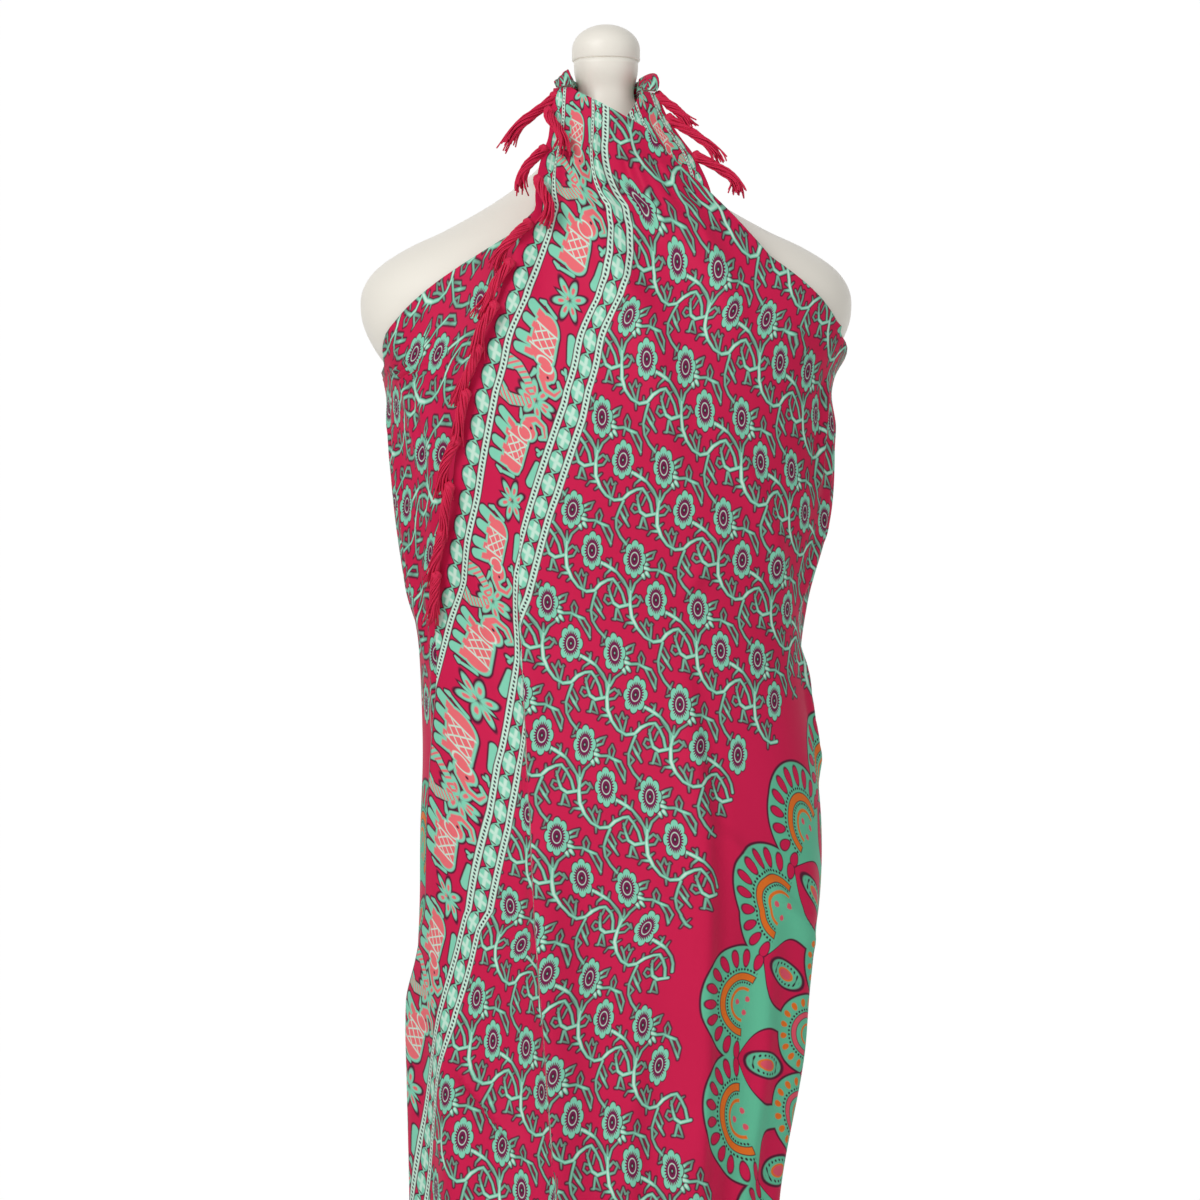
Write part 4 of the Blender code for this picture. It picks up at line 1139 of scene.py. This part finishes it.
def printed_material(name):
    """The printed cloth, drawn on the piece's print map."""
    made = bpy.data.materials.new(name)
    made.use_nodes = True
    made.node_tree.nodes.remove(made.node_tree.nodes["Principled BSDF"])
    page = Page(made)
    spot = page.add("ShaderNodeUVMap", {}, uv_map="print")
    along = page.part(spot, 0) * 1000.0
    down = page.part(spot, 1) * 1000.0
    edge = along.lowest(CLOTH_LENGTH * 1000.0 - along)
    grain = page.add("ShaderNodeTexNoise", {"Vector": spot, "Scale": 900.0, "Detail": 1.0})
    bump = page.add("ShaderNodeBump", {"Height": grain, "Strength": 0.12, "Distance": 0.0004})
    shade = page.add("ShaderNodeTexNoise", {"Vector": spot, "Scale": 7.0, "Detail": 2.0})
    ground = page.add("ShaderNodeMix", {0: shade, 6: ink_colour(215, 17, 81),
                                        7: ink_colour(203, 12, 69)}, output=2, data_type="RGBA")

    def finish(colour):
        return page.add("ShaderNodeBsdfPrincipled", {
            "Base Color": colour, "Roughness": 0.66, "Normal": bump,
            "Specular IOR Level": 0.25, "Sheen Weight": 0.05, "Sheen Roughness": 0.4})

    field = finish(field_colour(page, along, down, ground))
    border = finish(border_colour(page, edge, down, ground))
    fans = finish(round_colour(page, along, down, ground))
    out = page.length(along - CENTRE_ALONG, down - CENTRE_DOWN)
    chosen = page.add("ShaderNodeMixShader", {0: out.below(ROUND_RADIUS + 4.0), 1: field, 2: fans})
    chosen = page.add("ShaderNodeMixShader", {0: edge.below(BORDER_WIDTH), 1: chosen, 2: border})
    page.put(made.node_tree.nodes["Material Output"].inputs["Surface"], chosen)
    return made


printed = printed_material("printed_cloth")
thread = plain_material("fringe_thread", ink_colour(214, 18, 72), 0.75)
shell = plain_material("form_shell", ink_colour(246, 241, 230), 0.45)
paint = plain_material("stand_paint", ink_colour(240, 238, 232), 0.40)
print("nodes in the print:", len(printed.node_tree.nodes))

# %% [markdown]
# ## The three stretches of cloth
# The outer front panel, the inner one that it lies on, and the back between the two.
# The hem is a narrow roll, whose last few millimetres curl towards the body. The
# tasselled short edge stands a little away from what is under it, down to the waist.

# %% The cloth
HEM_ROLL = 0.0014
HEM_WIDTH = 0.0070
EDGE_STAND = 0.0060
EDGE_STAND_WIDTH = 0.0220
EDGE_STAND_FROM = 0.74
EDGE_STAND_FADE = 0.20
STRETCH_HEIGHT = 1.1
RIPPLE = 0.0011
RIPPLES = 26.0
OVER_COLUMNS = 156
TUCK_COLUMN = 62


def tucked_share(along, first, last, height):
    """How far along its row a column of the outer panel lies. Two columns follow the two
    sides of the tuck, so that the print changes between them."""
    across = np.interp(height, TUCK_LINE["height"], TUCK_LINE["across"])
    width = last - first
    middle = np.clip((angle_of(across, height) - first) / width, 0.15, 0.60)
    half = 0.5 * TUCK_TURN / width
    start = TUCK_COLUMN / OVER_COLUMNS
    end = (TUCK_COLUMN + 1) / OVER_COLUMNS
    before = along / start * (middle - half)
    after = 1.0 - (1.0 - along) / (1.0 - end) * (1.0 - middle - half)
    return np.where(along < (start + end) / 2.0, before, after)


def panel_place(edges, layer, top):
    """The placing function of a front panel, which the slanting hem ends."""
    level_part = 0.74

    def place(along, down):
        upper = np.minimum(down / level_part, 1.0)
        lower = np.maximum(down - level_part, 0.0) / (1.0 - level_part)
        height = top + (LEVEL_ROWS_END - top) * upper
        first, last = edges(height)
        low_first, low_last = edges(np.full(height.shape, HEM_CORNER))
        first = first + (low_first - first) * lower
        last = last + (low_last - last) * lower
        share = tucked_share(along, first, last, height) if layer == "over" else along
        angle = first + (last - first) * share
        height = height + (hem_height(angle, layer) - LEVEL_ROWS_END) * lower
        return finish_place(angle, height, layer, down, lower)
    return place


def finish_place(angle, height, layer, down, lower):
    """Points of a stretch with its rolled edges, and their places in the print."""
    lift = cloth_lift(angle, height, layer)
    print_along, print_down = flat_place(angle, height, layer)
    if layer != "back":
        short_side = print_along if layer == "over" else CLOTH_LENGTH - print_along
        near_edge = np.exp(-(short_side / EDGE_STAND_WIDTH) ** 2)
        wander = 0.75 + 0.45 * np.sin(height * 61.0) * np.sin(height * 23.0 + 1.0)
        stand = EDGE_STAND if layer == "over" else EDGE_STAND * 0.3
        fade = smooth_step((height - EDGE_STAND_FROM) / EDGE_STAND_FADE)
        lift = lift + stand * near_edge * wander * fade
    to_hem = (1.0 - down) * STRETCH_HEIGHT
    lift = lift - HEM_ROLL * np.exp(-(to_hem / HEM_WIDTH) ** 2)
    ripple = RIPPLE * np.sin(np.radians(angle) * RIPPLES + 6.0 * height)
    lift = lift + ripple * smooth_step(lower * 1.2)
    points = section_point(angle, height) + outwards(angle, height) * lift[..., None]
    return points, print_along, print_down


def over_edges(height):
    """The outer panel's short edge, and its top edge or side seam."""
    far = np.where(height > ARMPIT_RIGHT, edge_angle(OVER_TOP, height), SIDE_SEAM)
    return edge_angle(OVER_SHORT, height), far


def under_edges(height):
    """The inner panel's side seam or top edge, and its short edge."""
    near = np.where(height > ARMPIT_LEFT, edge_angle(UNDER_TOP, height), -SIDE_SEAM)
    return near, edge_angle(UNDER_SHORT, height)


def back_place_points(along, down):
    """The placing function of the back."""
    level_part = 0.66
    angle = SIDE_SEAM + (360.0 - 2.0 * SIDE_SEAM) * along
    level = ARMPIT_RIGHT + (ARMPIT_LEFT - ARMPIT_RIGHT) * along
    top = level + (BACK_TOP - level) * np.sin(pi * along)
    upper = np.minimum(down / level_part, 1.0)
    lower = np.maximum(down - level_part, 0.0) / (1.0 - level_part)
    height = top + (LEVEL_ROWS_END - top) * upper
    height = height + (hem_height(angle, "back") - LEVEL_ROWS_END) * lower
    return finish_place(angle, height, "back", down, lower)


cloth_over = surface("cloth_over", OVER_COLUMNS, 300,
                     panel_place(over_edges, "over", OVER_TOP_HEIGHT), printed)
cloth_under = surface("cloth_under", 110, 240,
                      panel_place(under_edges, "under", UNDER_TOP_HEIGHT), printed)
cloth_back = surface("cloth_back", 130, 260, back_place_points, printed)
for piece in (cloth_over, cloth_under, cloth_back):
    thin_cloth(piece)
    print(piece.name, triangles(piece), "triangles")

# %% [markdown]
# ## The form and its stand
# The form is turned from the same sections as its solid, with more points.
# The cap on the neck has a small step where it meets the neck, as in the photo.

# %% Sizes and profiles
SEAM_GAP = 0.0003
CAP_RADIUS = 0.0296
CAP_RIM = 0.0100
CAP_DOME = 0.0220
POLE_RADIUS = 0.0160
BASE_RADIUS = 0.170
BASE_THICKNESS = 0.014
BASE_COLLAR_RADIUS = 0.028
BASE_COLLAR_TOP = 0.055


def form_place(along, down):
    """The placing function of the torso, from its underside to the neck's end."""
    low = FORM_SECTIONS["height"][0]
    high = FORM_SECTIONS["height"][-1]
    height = low + (high - low) * (1.0 - down)
    turn = tau * along
    half = read_table(FORM_SECTIONS, "half", height)
    depth = np.where(np.sin(turn) > 0.0, read_table(FORM_SECTIONS, "back", height),
                     read_table(FORM_SECTIONS, "front", height))
    inwards = 0.012 * np.exp(-((height - low) / 0.004) ** 2)
    power = 2.0 / FORM_POWER
    points = np.stack((signed_power(np.cos(turn), power) * (half - inwards),
                       signed_power(np.sin(turn), power) * (depth - inwards), height), axis=-1)
    return points, along, down


def turned_place(profile):
    """The placing function of a turned piece, from its profile of radius and height."""
    radii = np.array([row[0] for row in profile])
    levels = np.array([row[1] for row in profile])
    steps = np.linspace(0.0, 1.0, len(profile))

    def place(along, down):
        turn = tau * along
        radius = np.interp(1.0 - down, steps, radii)
        height = np.interp(1.0 - down, steps, levels)
        points = np.stack((radius * np.cos(turn), radius * np.sin(turn), height), axis=-1)
        return points, along, down
    return place


def turned(name, profile, look, columns=96):
    """A turned solid piece with one row of faces to each step of its profile."""
    return surface(name, columns, len(profile) - 1, turned_place(profile), look,
                   closed=True, capped=True)


print("placing functions of the form ready")

# %% [markdown]
# ## Turning the form and the stand
# The cap, the pole and the base are profiles of radius and height that go round once.

# %% The form, its cap and the stand
body = surface("form_torso", 144, 220, form_place, shell, closed=True, capped=True)
cap_bottom = FORM_SECTIONS["height"][-1] + SEAM_GAP
cap_profile = [(CAP_RADIUS - 0.0012, cap_bottom), (CAP_RADIUS - 0.0003, cap_bottom + 0.0004),
               (CAP_RADIUS, cap_bottom + 0.0012), (CAP_RADIUS, cap_bottom + CAP_RIM)]
for step in range(1, 18):
    turn = pi / 2.0 * step / 18.0
    cap_profile.append((CAP_RADIUS * cos(turn), cap_bottom + CAP_RIM + CAP_DOME * sin(turn)))
cap_profile.append((0.0012, cap_bottom + CAP_RIM + CAP_DOME))
cap = turned("form_neck_cap", cap_profile, shell)
base_profile = [(BASE_RADIUS - 0.0010, 0.0), (BASE_RADIUS, 0.0010),
                (BASE_RADIUS, BASE_THICKNESS - 0.0030),
                (BASE_RADIUS - 0.0009, BASE_THICKNESS - 0.0009),
                (BASE_RADIUS - 0.0030, BASE_THICKNESS),
                (BASE_COLLAR_RADIUS + 0.006, BASE_THICKNESS + 0.004),
                (BASE_COLLAR_RADIUS, BASE_THICKNESS + 0.012),
                (BASE_COLLAR_RADIUS, BASE_COLLAR_TOP - 0.0010),
                (BASE_COLLAR_RADIUS - 0.0010, BASE_COLLAR_TOP)]
base = turned("stand_round_base", base_profile, paint, 128)
pole_profile = [(POLE_RADIUS, BASE_COLLAR_TOP + SEAM_GAP),
                (POLE_RADIUS, FORM_SECTIONS["height"][0] - SEAM_GAP)]
pole = turned("stand_upright", pole_profile, paint, 64)
for piece in (base, pole):
    look_after(piece)
    bpy.ops.object.shade_smooth_by_angle(angle=radians(35.0))
print("form", triangles(body), "cap", triangles(cap), "stand", triangles(base) + triangles(pole))

# %% [markdown]
# ## The ties, the knot and the tails
# The two upper corners are gathered into soft cords that go round the neck's sides. They
# meet in a knot behind it, and what is left of each corner hangs down as a pleated tail.
# Pleats are ripples of uneven height that run along each piece.

# %% The gathered corners
TIE_HEIGHT = 1.473
TIE_HALF_WIDTH = 0.010
TIE_HALF_THICKNESS = 0.0040
TIE_CLEARANCE = 0.0014
TIE_WIDTHS = (0.0062, TIE_HALF_WIDTH, 0.0095)
TIE_THICKNESSES = (0.0014, TIE_HALF_THICKNESS)
TIE_RAISE = 0.0012
KNOT_PLACE = np.array((0.0, 0.0388, 1.4640))
KNOT_RADII = np.array((0.0170, 0.0115, 0.0150))
TAIL_LENGTH = 0.135
TAIL_TOP_WIDTH = 0.012
TAIL_END_WIDTH = 0.056
TAIL_APART = 0.0080
TAIL_BEHIND = 0.0040
TAIL_SPREAD = 0.034
TAIL_LEAN = 0.037
TAIL_WAVES = 2.5
TAIL_WAVE_HEIGHT = 0.0035


def smooth_path(points, count):
    """Many points along a smooth curve through a few."""
    points = np.array(points, float)
    ends = np.concatenate((2.0 * points[:1] - points[1:2], points,
                           2.0 * points[-1:] - points[-2:-1]))
    places = np.linspace(0.0, len(points) - 1.0, count)
    row = np.minimum(places.astype(int), len(points) - 2)
    part = (places - row)[:, None]
    before, start, end, after = (ends[row + step] for step in range(4))
    return 0.5 * (2.0 * start + (end - before) * part
                  + (2.0 * before - 5.0 * start + 4.0 * end - after) * part ** 2
                  + (3.0 * start - before - 3.0 * end + after) * part ** 3)


def tube_place(path, wide, narrow, upright, pleats=0, pleat_depth=0.0, print_start=0.0):
    """The placing function of a tube along a path, oval in section."""
    path = np.array(path)
    tangents = np.gradient(path, axis=0)
    tangents = tangents / np.linalg.norm(tangents, axis=1, keepdims=True)
    side = np.array(upright, float) - tangents * np.sum(upright * tangents, axis=1)[:, None]
    side = side / np.linalg.norm(side, axis=1, keepdims=True)
    other = np.cross(tangents, side)
    lengths = np.append(0.0, np.cumsum(np.linalg.norm(np.diff(path, axis=0), axis=1)))

    def place(along, down):
        row = np.rint(down * (len(path) - 1)).astype(int)
        turn = tau * along
        swell = 1.0 + pleat_depth * np.cos(pleats * turn + 9.0 * down)
        swell = swell + 0.5 * pleat_depth * np.cos((pleats + 3.0) * turn - 6.0 * down + 1.0)
        points = (path[row] + side[row] * (wide[row] * np.cos(turn) * swell)[:, None]
                  + other[row] * (narrow[row] * np.sin(turn) * swell)[:, None])
        return points, print_start + 0.11 * along, 0.03 + lengths[row]
    return place


def tie_path(start, direction):
    """The way from a panel's upper end, round the neck's side to the knot."""
    levels = TIE_HEIGHT + np.array((-0.8, 0.0, 0.8)) * TIE_HALF_WIDTH
    reach = read_table(FORM_SECTIONS, "half", levels).max() + TIE_HALF_THICKNESS + TIE_CLEARANCE
    path = [start, start + np.array((direction * 0.001, 0.005, 0.008))]
    for turn in np.radians(np.linspace(-12.0, 68.0, 7)):
        path.append(np.array((direction * reach * cos(turn), reach * sin(turn), TIE_HEIGHT)))
    return smooth_path(path, 61)


def tail_place(direction):
    """The placing function of a tail, from the knot down."""
    top = np.array((direction * TAIL_APART, KNOT_PLACE[1] + TAIL_BEHIND,
                    KNOT_PLACE[2] - KNOT_RADII[2] * cos(pi / 10.0) - SEAM_GAP))

    def place(along, down):
        width = TAIL_TOP_WIDTH + (TAIL_END_WIDTH - TAIL_TOP_WIDTH) * down ** 0.8
        across = along - 0.5
        wave = TAIL_WAVE_HEIGHT * down ** 0.5 * np.sin(tau * TAIL_WAVES * across + direction)
        wave = wave + 0.0011 * down ** 0.3 * np.sin(tau * 7.3 * across + 2.0 * direction)
        points = np.stack((top[0] + direction * (TAIL_SPREAD * down ** 0.9 + width * across),
                           top[1] + TAIL_LEAN * smooth_step(down * 1.6) + wave,
                           top[2] - TAIL_LENGTH * down + 0.008 * across * down), axis=-1)
        return points, 0.012 + 0.13 * (1.0 - along), 0.02 + TAIL_LENGTH * (1.0 - down)
    return place


def knot_place(along, down):
    """The placing function of the knot, a ball with slanting pleats round it."""
    turn = tau * along
    rise = pi * (0.5 - down)
    slant = np.cos(6.0 * turn + 5.0 * rise) + 0.5 * np.cos(11.0 * turn - 4.0 * rise + 1.0)
    swell = 0.94 + 0.035 * slant * np.cos(rise)
    points = KNOT_PLACE + np.stack((KNOT_RADII[0] * swell * np.cos(turn) * np.cos(rise),
                                    KNOT_RADII[1] * swell * np.sin(turn) * np.cos(rise),
                                    KNOT_RADII[2] * swell * np.sin(rise)), axis=-1)
    return points, 0.10 + 0.09 * along, 0.02 + 0.04 * down


print("a tail is", TAIL_LENGTH, "m long")

# %% [markdown]
# ## Building the gathered corners
# Each tie starts where its panel ends and soon grows to its full thickness.

# %% The ties, the knot and the tails
gathered = []
for name, layer, direction in (("neck_tie_left", "over", -1.0), ("neck_tie_right", "under", 1.0)):
    edges = over_edges if layer == "over" else under_edges
    top = OVER_TOP_HEIGHT if layer == "over" else UNDER_TOP_HEIGHT
    first, last = edges(np.array([top]))
    row = cloth_point(np.linspace(first[0], last[0], 19), np.full(19, top), layer)
    path = tie_path(row.mean(axis=0) + np.array((0.0, 0.0, SEAM_GAP + TIE_RAISE)), direction)
    steps = np.linspace(0.0, 1.0, len(path))
    wide = np.interp(steps, (0.0, 0.25, 1.0), TIE_WIDTHS)
    narrow = np.interp(steps, (0.0, 0.25), TIE_THICKNESSES)
    level = smooth_step(steps * 4.0)
    upright = np.stack((1.0 - level, 0.0 * level, 0.15 + level), axis=1)
    tie = surface(name, 60, len(path) - 1,
                  tube_place(path, wide, narrow, upright, 8, 0.07, 0.10), printed,
                  closed=True, capped=True)
    gathered.append(tie)
knot = surface("nape_tie_knot", 72, 40, knot_place, printed, closed=True, capped=True)
tails = {}
for name, direction in (("nape_tail_left", -1.0), ("nape_tail_right", 1.0)):
    tails[name] = surface(name, 44, 66, tail_place(direction), printed, flip=direction > 0.0)
    thin_cloth(tails[name])
print("ties", [triangles(piece) for piece in gathered], "knot", triangles(knot),
      "tails", [triangles(piece) for piece in tails.values()])

# %% [markdown]
# ## The tassels
# Each tassel is a small knot and a bundle of threads. A thread is a fine tube that
# wanders a little, and the bundle opens towards its frayed end.
# The table gives each root's height, the tassel's length, how far it reaches out from
# the edge, and how free it hangs: 1 clear of the body, 0 along the cloth under it.

# %% The tassel tables
OVER_TASSELS = (
    # height, length, reach, free
    (1.462, 0.056, 0.034, 1.0),
    (1.446, 0.044, -0.014, 0.0),
    (1.412, 0.044, 0.013, 1.0),
    (1.384, 0.046, -0.012, 0.0),
    (1.346, 0.046, 0.011, 0.4),
    (1.312, 0.054, 0.006, 0.0),
    (1.276, 0.050, 0.002, 0.0),
    (1.240, 0.055, 0.006, 0.0),
    (1.203, 0.049, 0.001, 0.0),
    (1.165, 0.056, 0.005, 0.0),
    (1.126, 0.052, 0.000, 0.0),
    (1.088, 0.054, 0.005, 0.0),
    (1.052, 0.048, 0.001, 0.0),
)
UNDER_TASSELS = (
    (1.464, 0.034, 0.016, 1.0),
    (1.444, 0.046, 0.018, 1.0),
    (1.410, 0.040, 0.022, 1.0),
)
TAIL_TASSELS = (
    (1.404, 0.048, 0.010, 1.0),
    (1.366, 0.050, 0.008, 1.0),
    (1.330, 0.050, 0.008, 1.0),
)
THREADS = 24
THREAD_RADIUS = 0.00092
BUNDLE_RADIUS = 0.0040
FRAYED_RADIUS = 0.0092
HEAD_RADIUS = 0.0044
THREAD_STEPS = 12
ROOT_INSET = 0.0025
print("tassels:", len(OVER_TASSELS) + len(UNDER_TASSELS) + 2 * len(TAIL_TASSELS))

# %% [markdown]
# ## Placing and building tassels
# A tassel hangs from a panel's short edge or from a tail's outer edge. Its threads are
# twisted together above and open below.

# %% Tassels
def beside_edge(table, direction, layer):
    """Points beside a panel's short edge: out from it, at a height, and proud of it."""
    def place(out, height, proud, free):
        edge = edge_angle(table, height)
        radius = np.degrees(arc_length(edge + 1.0, height) - arc_length(edge - 1.0, height)) / 2.0
        angle = edge + direction * np.degrees(out / radius)
        lift = cloth_lift(angle, height, layer) + EDGE_STAND * 1.2 + BUNDLE_RADIUS + proud
        hugging = section_point(angle, height) + outwards(angle, height) * lift[:, None]
        lift = cloth_lift(edge, height, layer) + proud
        root = section_point(edge, height) + outwards(edge, height) * lift[:, None]
        clear = root + np.stack((direction * out, -0.25 * out, 0.0 * out), axis=1)
        return hugging * (1.0 - free) + clear * free
    return place


def beside_tail(direction):
    """Points beside a tail's outer edge."""
    place_on_tail = tail_place(direction)
    rows = np.linspace(0.0, 1.0, 80)
    edge = place_on_tail(np.ones(80), rows)[0][::-1]

    def place(out, height, proud, free):
        points = np.stack([np.interp(height, edge[:, 2], edge[:, axis]) for axis in range(2)]
                          + [height], axis=1)
        return points + np.stack((direction * out, proud * free, 0.0 * out), axis=1)
    return place


def tassel(place, height, length, reach, free, numbers):
    """A tassel's knot and its threads, as a list of objects."""
    part = np.linspace(0.0, 1.0, THREAD_STEPS + 1)
    bend = numbers.uniform(-0.003, 0.003)
    out = reach * smooth_step(part * 1.25) + bend * np.sin(pi * part) - ROOT_INSET * (1.0 - free)
    fall = length * (part ** 1.25)
    proud = 0.0025 * np.sin(pi * np.minimum(part * 1.3, 1.0)) + 0.001
    middle = place(out, height - fall, proud, free)
    tangents = np.gradient(middle, axis=0)
    tangents /= np.linalg.norm(tangents, axis=1, keepdims=True)
    side = np.cross(tangents, np.array((0.0, -1.0, 0.0)))
    side /= np.linalg.norm(side, axis=1, keepdims=True)
    other = np.cross(tangents, side)
    made = []
    twist = numbers.uniform(1.6, 2.6) * numbers.choice((-1.0, 1.0))
    for count in range(THREADS):
        spread = sqrt((count + 0.4) / THREADS)
        start = 2.4 * count + numbers.uniform(-0.3, 0.3)
        turn = start + twist * np.minimum(part, 0.62) * pi
        frayed = smooth_step((part - 0.55) / 0.45)
        radius = (BUNDLE_RADIUS + (FRAYED_RADIUS * numbers.uniform(0.5, 1.25) - BUNDLE_RADIUS)
                  * frayed) * spread
        wander = np.sin(part * numbers.uniform(7.0, 12.0) + start) * 0.0007 * (0.3 + frayed)
        path = (middle + side * (radius * np.cos(turn) + wander)[:, None]
                + other * (radius * np.sin(turn))[:, None])
        keep = numbers.uniform(0.82, 1.0)
        path = smooth_path(path, 49)[: int(49 * keep)][:: 4]
        thick = np.full(len(path), THREAD_RADIUS) * np.linspace(1.0, 0.75, len(path))
        upright = np.tile(np.array((0.3, 1.0, 0.05)), (len(path), 1))
        made.append(surface("thread", 5, len(path) - 1,
                            tube_place(path, thick, thick, upright), thread,
                            closed=True, capped=True))
    head = middle[1] * 0.75 + middle[0] * 0.25

    def head_place(along, down):
        turn = tau * along
        rise = pi * (0.5 - down)
        swell = HEAD_RADIUS * (1.0 + 0.14 * np.cos(3.0 * turn + 4.0 * rise))
        return head + np.stack((swell * np.cos(turn) * np.cos(rise),
                                swell * np.sin(turn) * np.cos(rise),
                                swell * 1.15 * np.sin(rise)), axis=-1), along, down
    made.append(surface("head", 18, 12, head_place, thread, closed=True, capped=True))
    return made


FRINGES = (
    ("tassels_over", beside_edge(OVER_SHORT, -1.0, "over"), OVER_TASSELS, 11),
    ("tassels_under", beside_edge(UNDER_SHORT, 1.0, "under"), UNDER_TASSELS, 12),
    ("tassels_tail_left", beside_tail(-1.0), TAIL_TASSELS, 13),
    ("tassels_tail_right", beside_tail(1.0), TAIL_TASSELS, 14),
)
fringes = {}
for name, place, table, seed in FRINGES:
    numbers = np.random.default_rng(seed)
    parts = []
    for height, length, reach, free in table:
        parts += tassel(place, height, length, reach, free, numbers)
    fringes[name] = joined(name, parts)
    print(name, triangles(fringes[name]), "triangles")

# %% [markdown]
# ## What each piece stands for
# Every piece rides on the one body. The table groups the pieces by finish and names the solid
# that each stands for, which is hidden. The flat width, length and area of each stretch's cut are
# worked out and printed.

# %% Pieces, solids and slots
PIECES = {
    "printed_cloth": (
        (cloth_over, "front_over"), (cloth_under, "front_under"), (cloth_back, "back_wrap"),
        (gathered[0], "tie_left"), (gathered[1], "tie_right"), (knot, "nape_knot"),
        (tails["nape_tail_left"], "tail_left"), (tails["nape_tail_right"], "tail_right")),
    "fringe_thread": [(fringe, name.replace("tassels", "fringe"))
                      for name, fringe in fringes.items()],
    "form_shell": ((body, "form_body"), (cap, "form_cap")),
    "stand_paint": ((pole, "stand_pole"), (base, "stand_base")),
}
for slot_name, pairs in PIECES.items():
    for piece, node in pairs:
        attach(piece, "root")
        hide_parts(node)


def cut_of(piece):
    """The width and length of the flat rectangle round a stretch, and its flat area."""
    mesh = piece.data
    spots = np.zeros(len(mesh.loops) * 2)
    mesh.uv_layers["print"].data.foreach_get("uv", spots)
    spots = spots.reshape(-1, 2)
    area = 0.0
    for face in mesh.polygons:
        corners = spots[list(face.loop_indices)]
        ahead = np.roll(corners, -1, axis=0)
        area += abs(np.sum(corners[:, 0] * ahead[:, 1] - ahead[:, 0] * corners[:, 1])) / 2.0
    width, length = spots.max(axis=0) - spots.min(axis=0)
    return float(width), float(length), float(area / 2.0)


for piece, fringe_names in ((cloth_over, ["tassels_over"]), (cloth_under, ["tassels_under"]),
                            (cloth_back, [])):
    width, length, area = cut_of(piece)
    print(piece.name, "flat", round(width, 3), "x", round(length, 3), "area", round(area, 3))
    [body] if piece != cloth_over else [body, cloth_under]

# %% [markdown]
# ## The studio
# A pale floor, a plain white backdrop and large soft lights. The camera looks level
# from the front, at the height of the frame's middle.

# %% Floor, lights and camera
FRAME_HEIGHT = 1.030
FRAME_WIDTH = 1.044
CAMERA_DISTANCE = 3.0
PHOTO_SIDE = 1200.0
FORM_MIDDLE = 606.0
AIM_HEIGHT = 1.05
SKY_LIGHT = 0.36

floor_look = plain_material("floor", (0.86, 0.86, 0.85), 0.7)
bpy.ops.mesh.primitive_circle_add(vertices=96, radius=2.6, fill_type="NGON")
floor = bpy.context.object
floor.name = "floor"
floor.data.materials.append(floor_look)
bpy.ops.mesh.primitive_plane_add(size=18.0, location=(0.0, 8.0, 2.0),
                                 rotation=(pi / 2.0, 0.0, 0.0))
backdrop = bpy.context.object
backdrop.name = "backdrop"
backdrop_look = plain_material("backdrop", (0.0, 0.0, 0.0), 1.0)
glow = backdrop_look.node_tree.nodes["Principled BSDF"]
glow.inputs["Emission Color"].default_value = (1.0, 1.0, 1.0, 1.0)
glow.inputs["Emission Strength"].default_value = 1.0
backdrop.data.materials.append(backdrop_look)

LIGHTS = (
    # name, place, size, power
    ("key", (-1.7, -2.5, 2.7), 1.2, 54.0),
    ("fill", (2.0, -2.4, 1.8), 2.2, 13.0),
    ("low", (0.2, -2.8, 0.6), 1.6, 5.0),
)
for name, place, size, power in LIGHTS:
    bpy.ops.object.light_add(type="AREA", location=place)
    lamp = bpy.context.object
    lamp.name = name
    lamp.data.size = size
    lamp.data.energy = power
    aim = Vector((0.0, 0.0, AIM_HEIGHT)) - Vector(place)
    lamp.rotation_euler = aim.to_track_quat("-Z", "Y").to_euler()
world = bpy.data.worlds.new("studio")
world.use_nodes = True
sky = world.node_tree.nodes["Background"]
sky.inputs["Color"].default_value = (1.0, 1.0, 1.0, 1.0)
sky.inputs["Strength"].default_value = SKY_LIGHT
bpy.context.scene.world = world
bpy.context.scene.view_settings.view_transform = "Standard"

bpy.ops.object.camera_add(location=(0.0, -CAMERA_DISTANCE, FRAME_HEIGHT),
                          rotation=(pi / 2.0, 0.0, 0.0))
camera = bpy.context.object
camera.data.sensor_width = 36.0
camera.data.lens = 36.0 * CAMERA_DISTANCE / FRAME_WIDTH
camera.data.shift_x = (PHOTO_SIDE / 2.0 - FORM_MIDDLE) / PHOTO_SIDE
bpy.context.scene.camera = camera
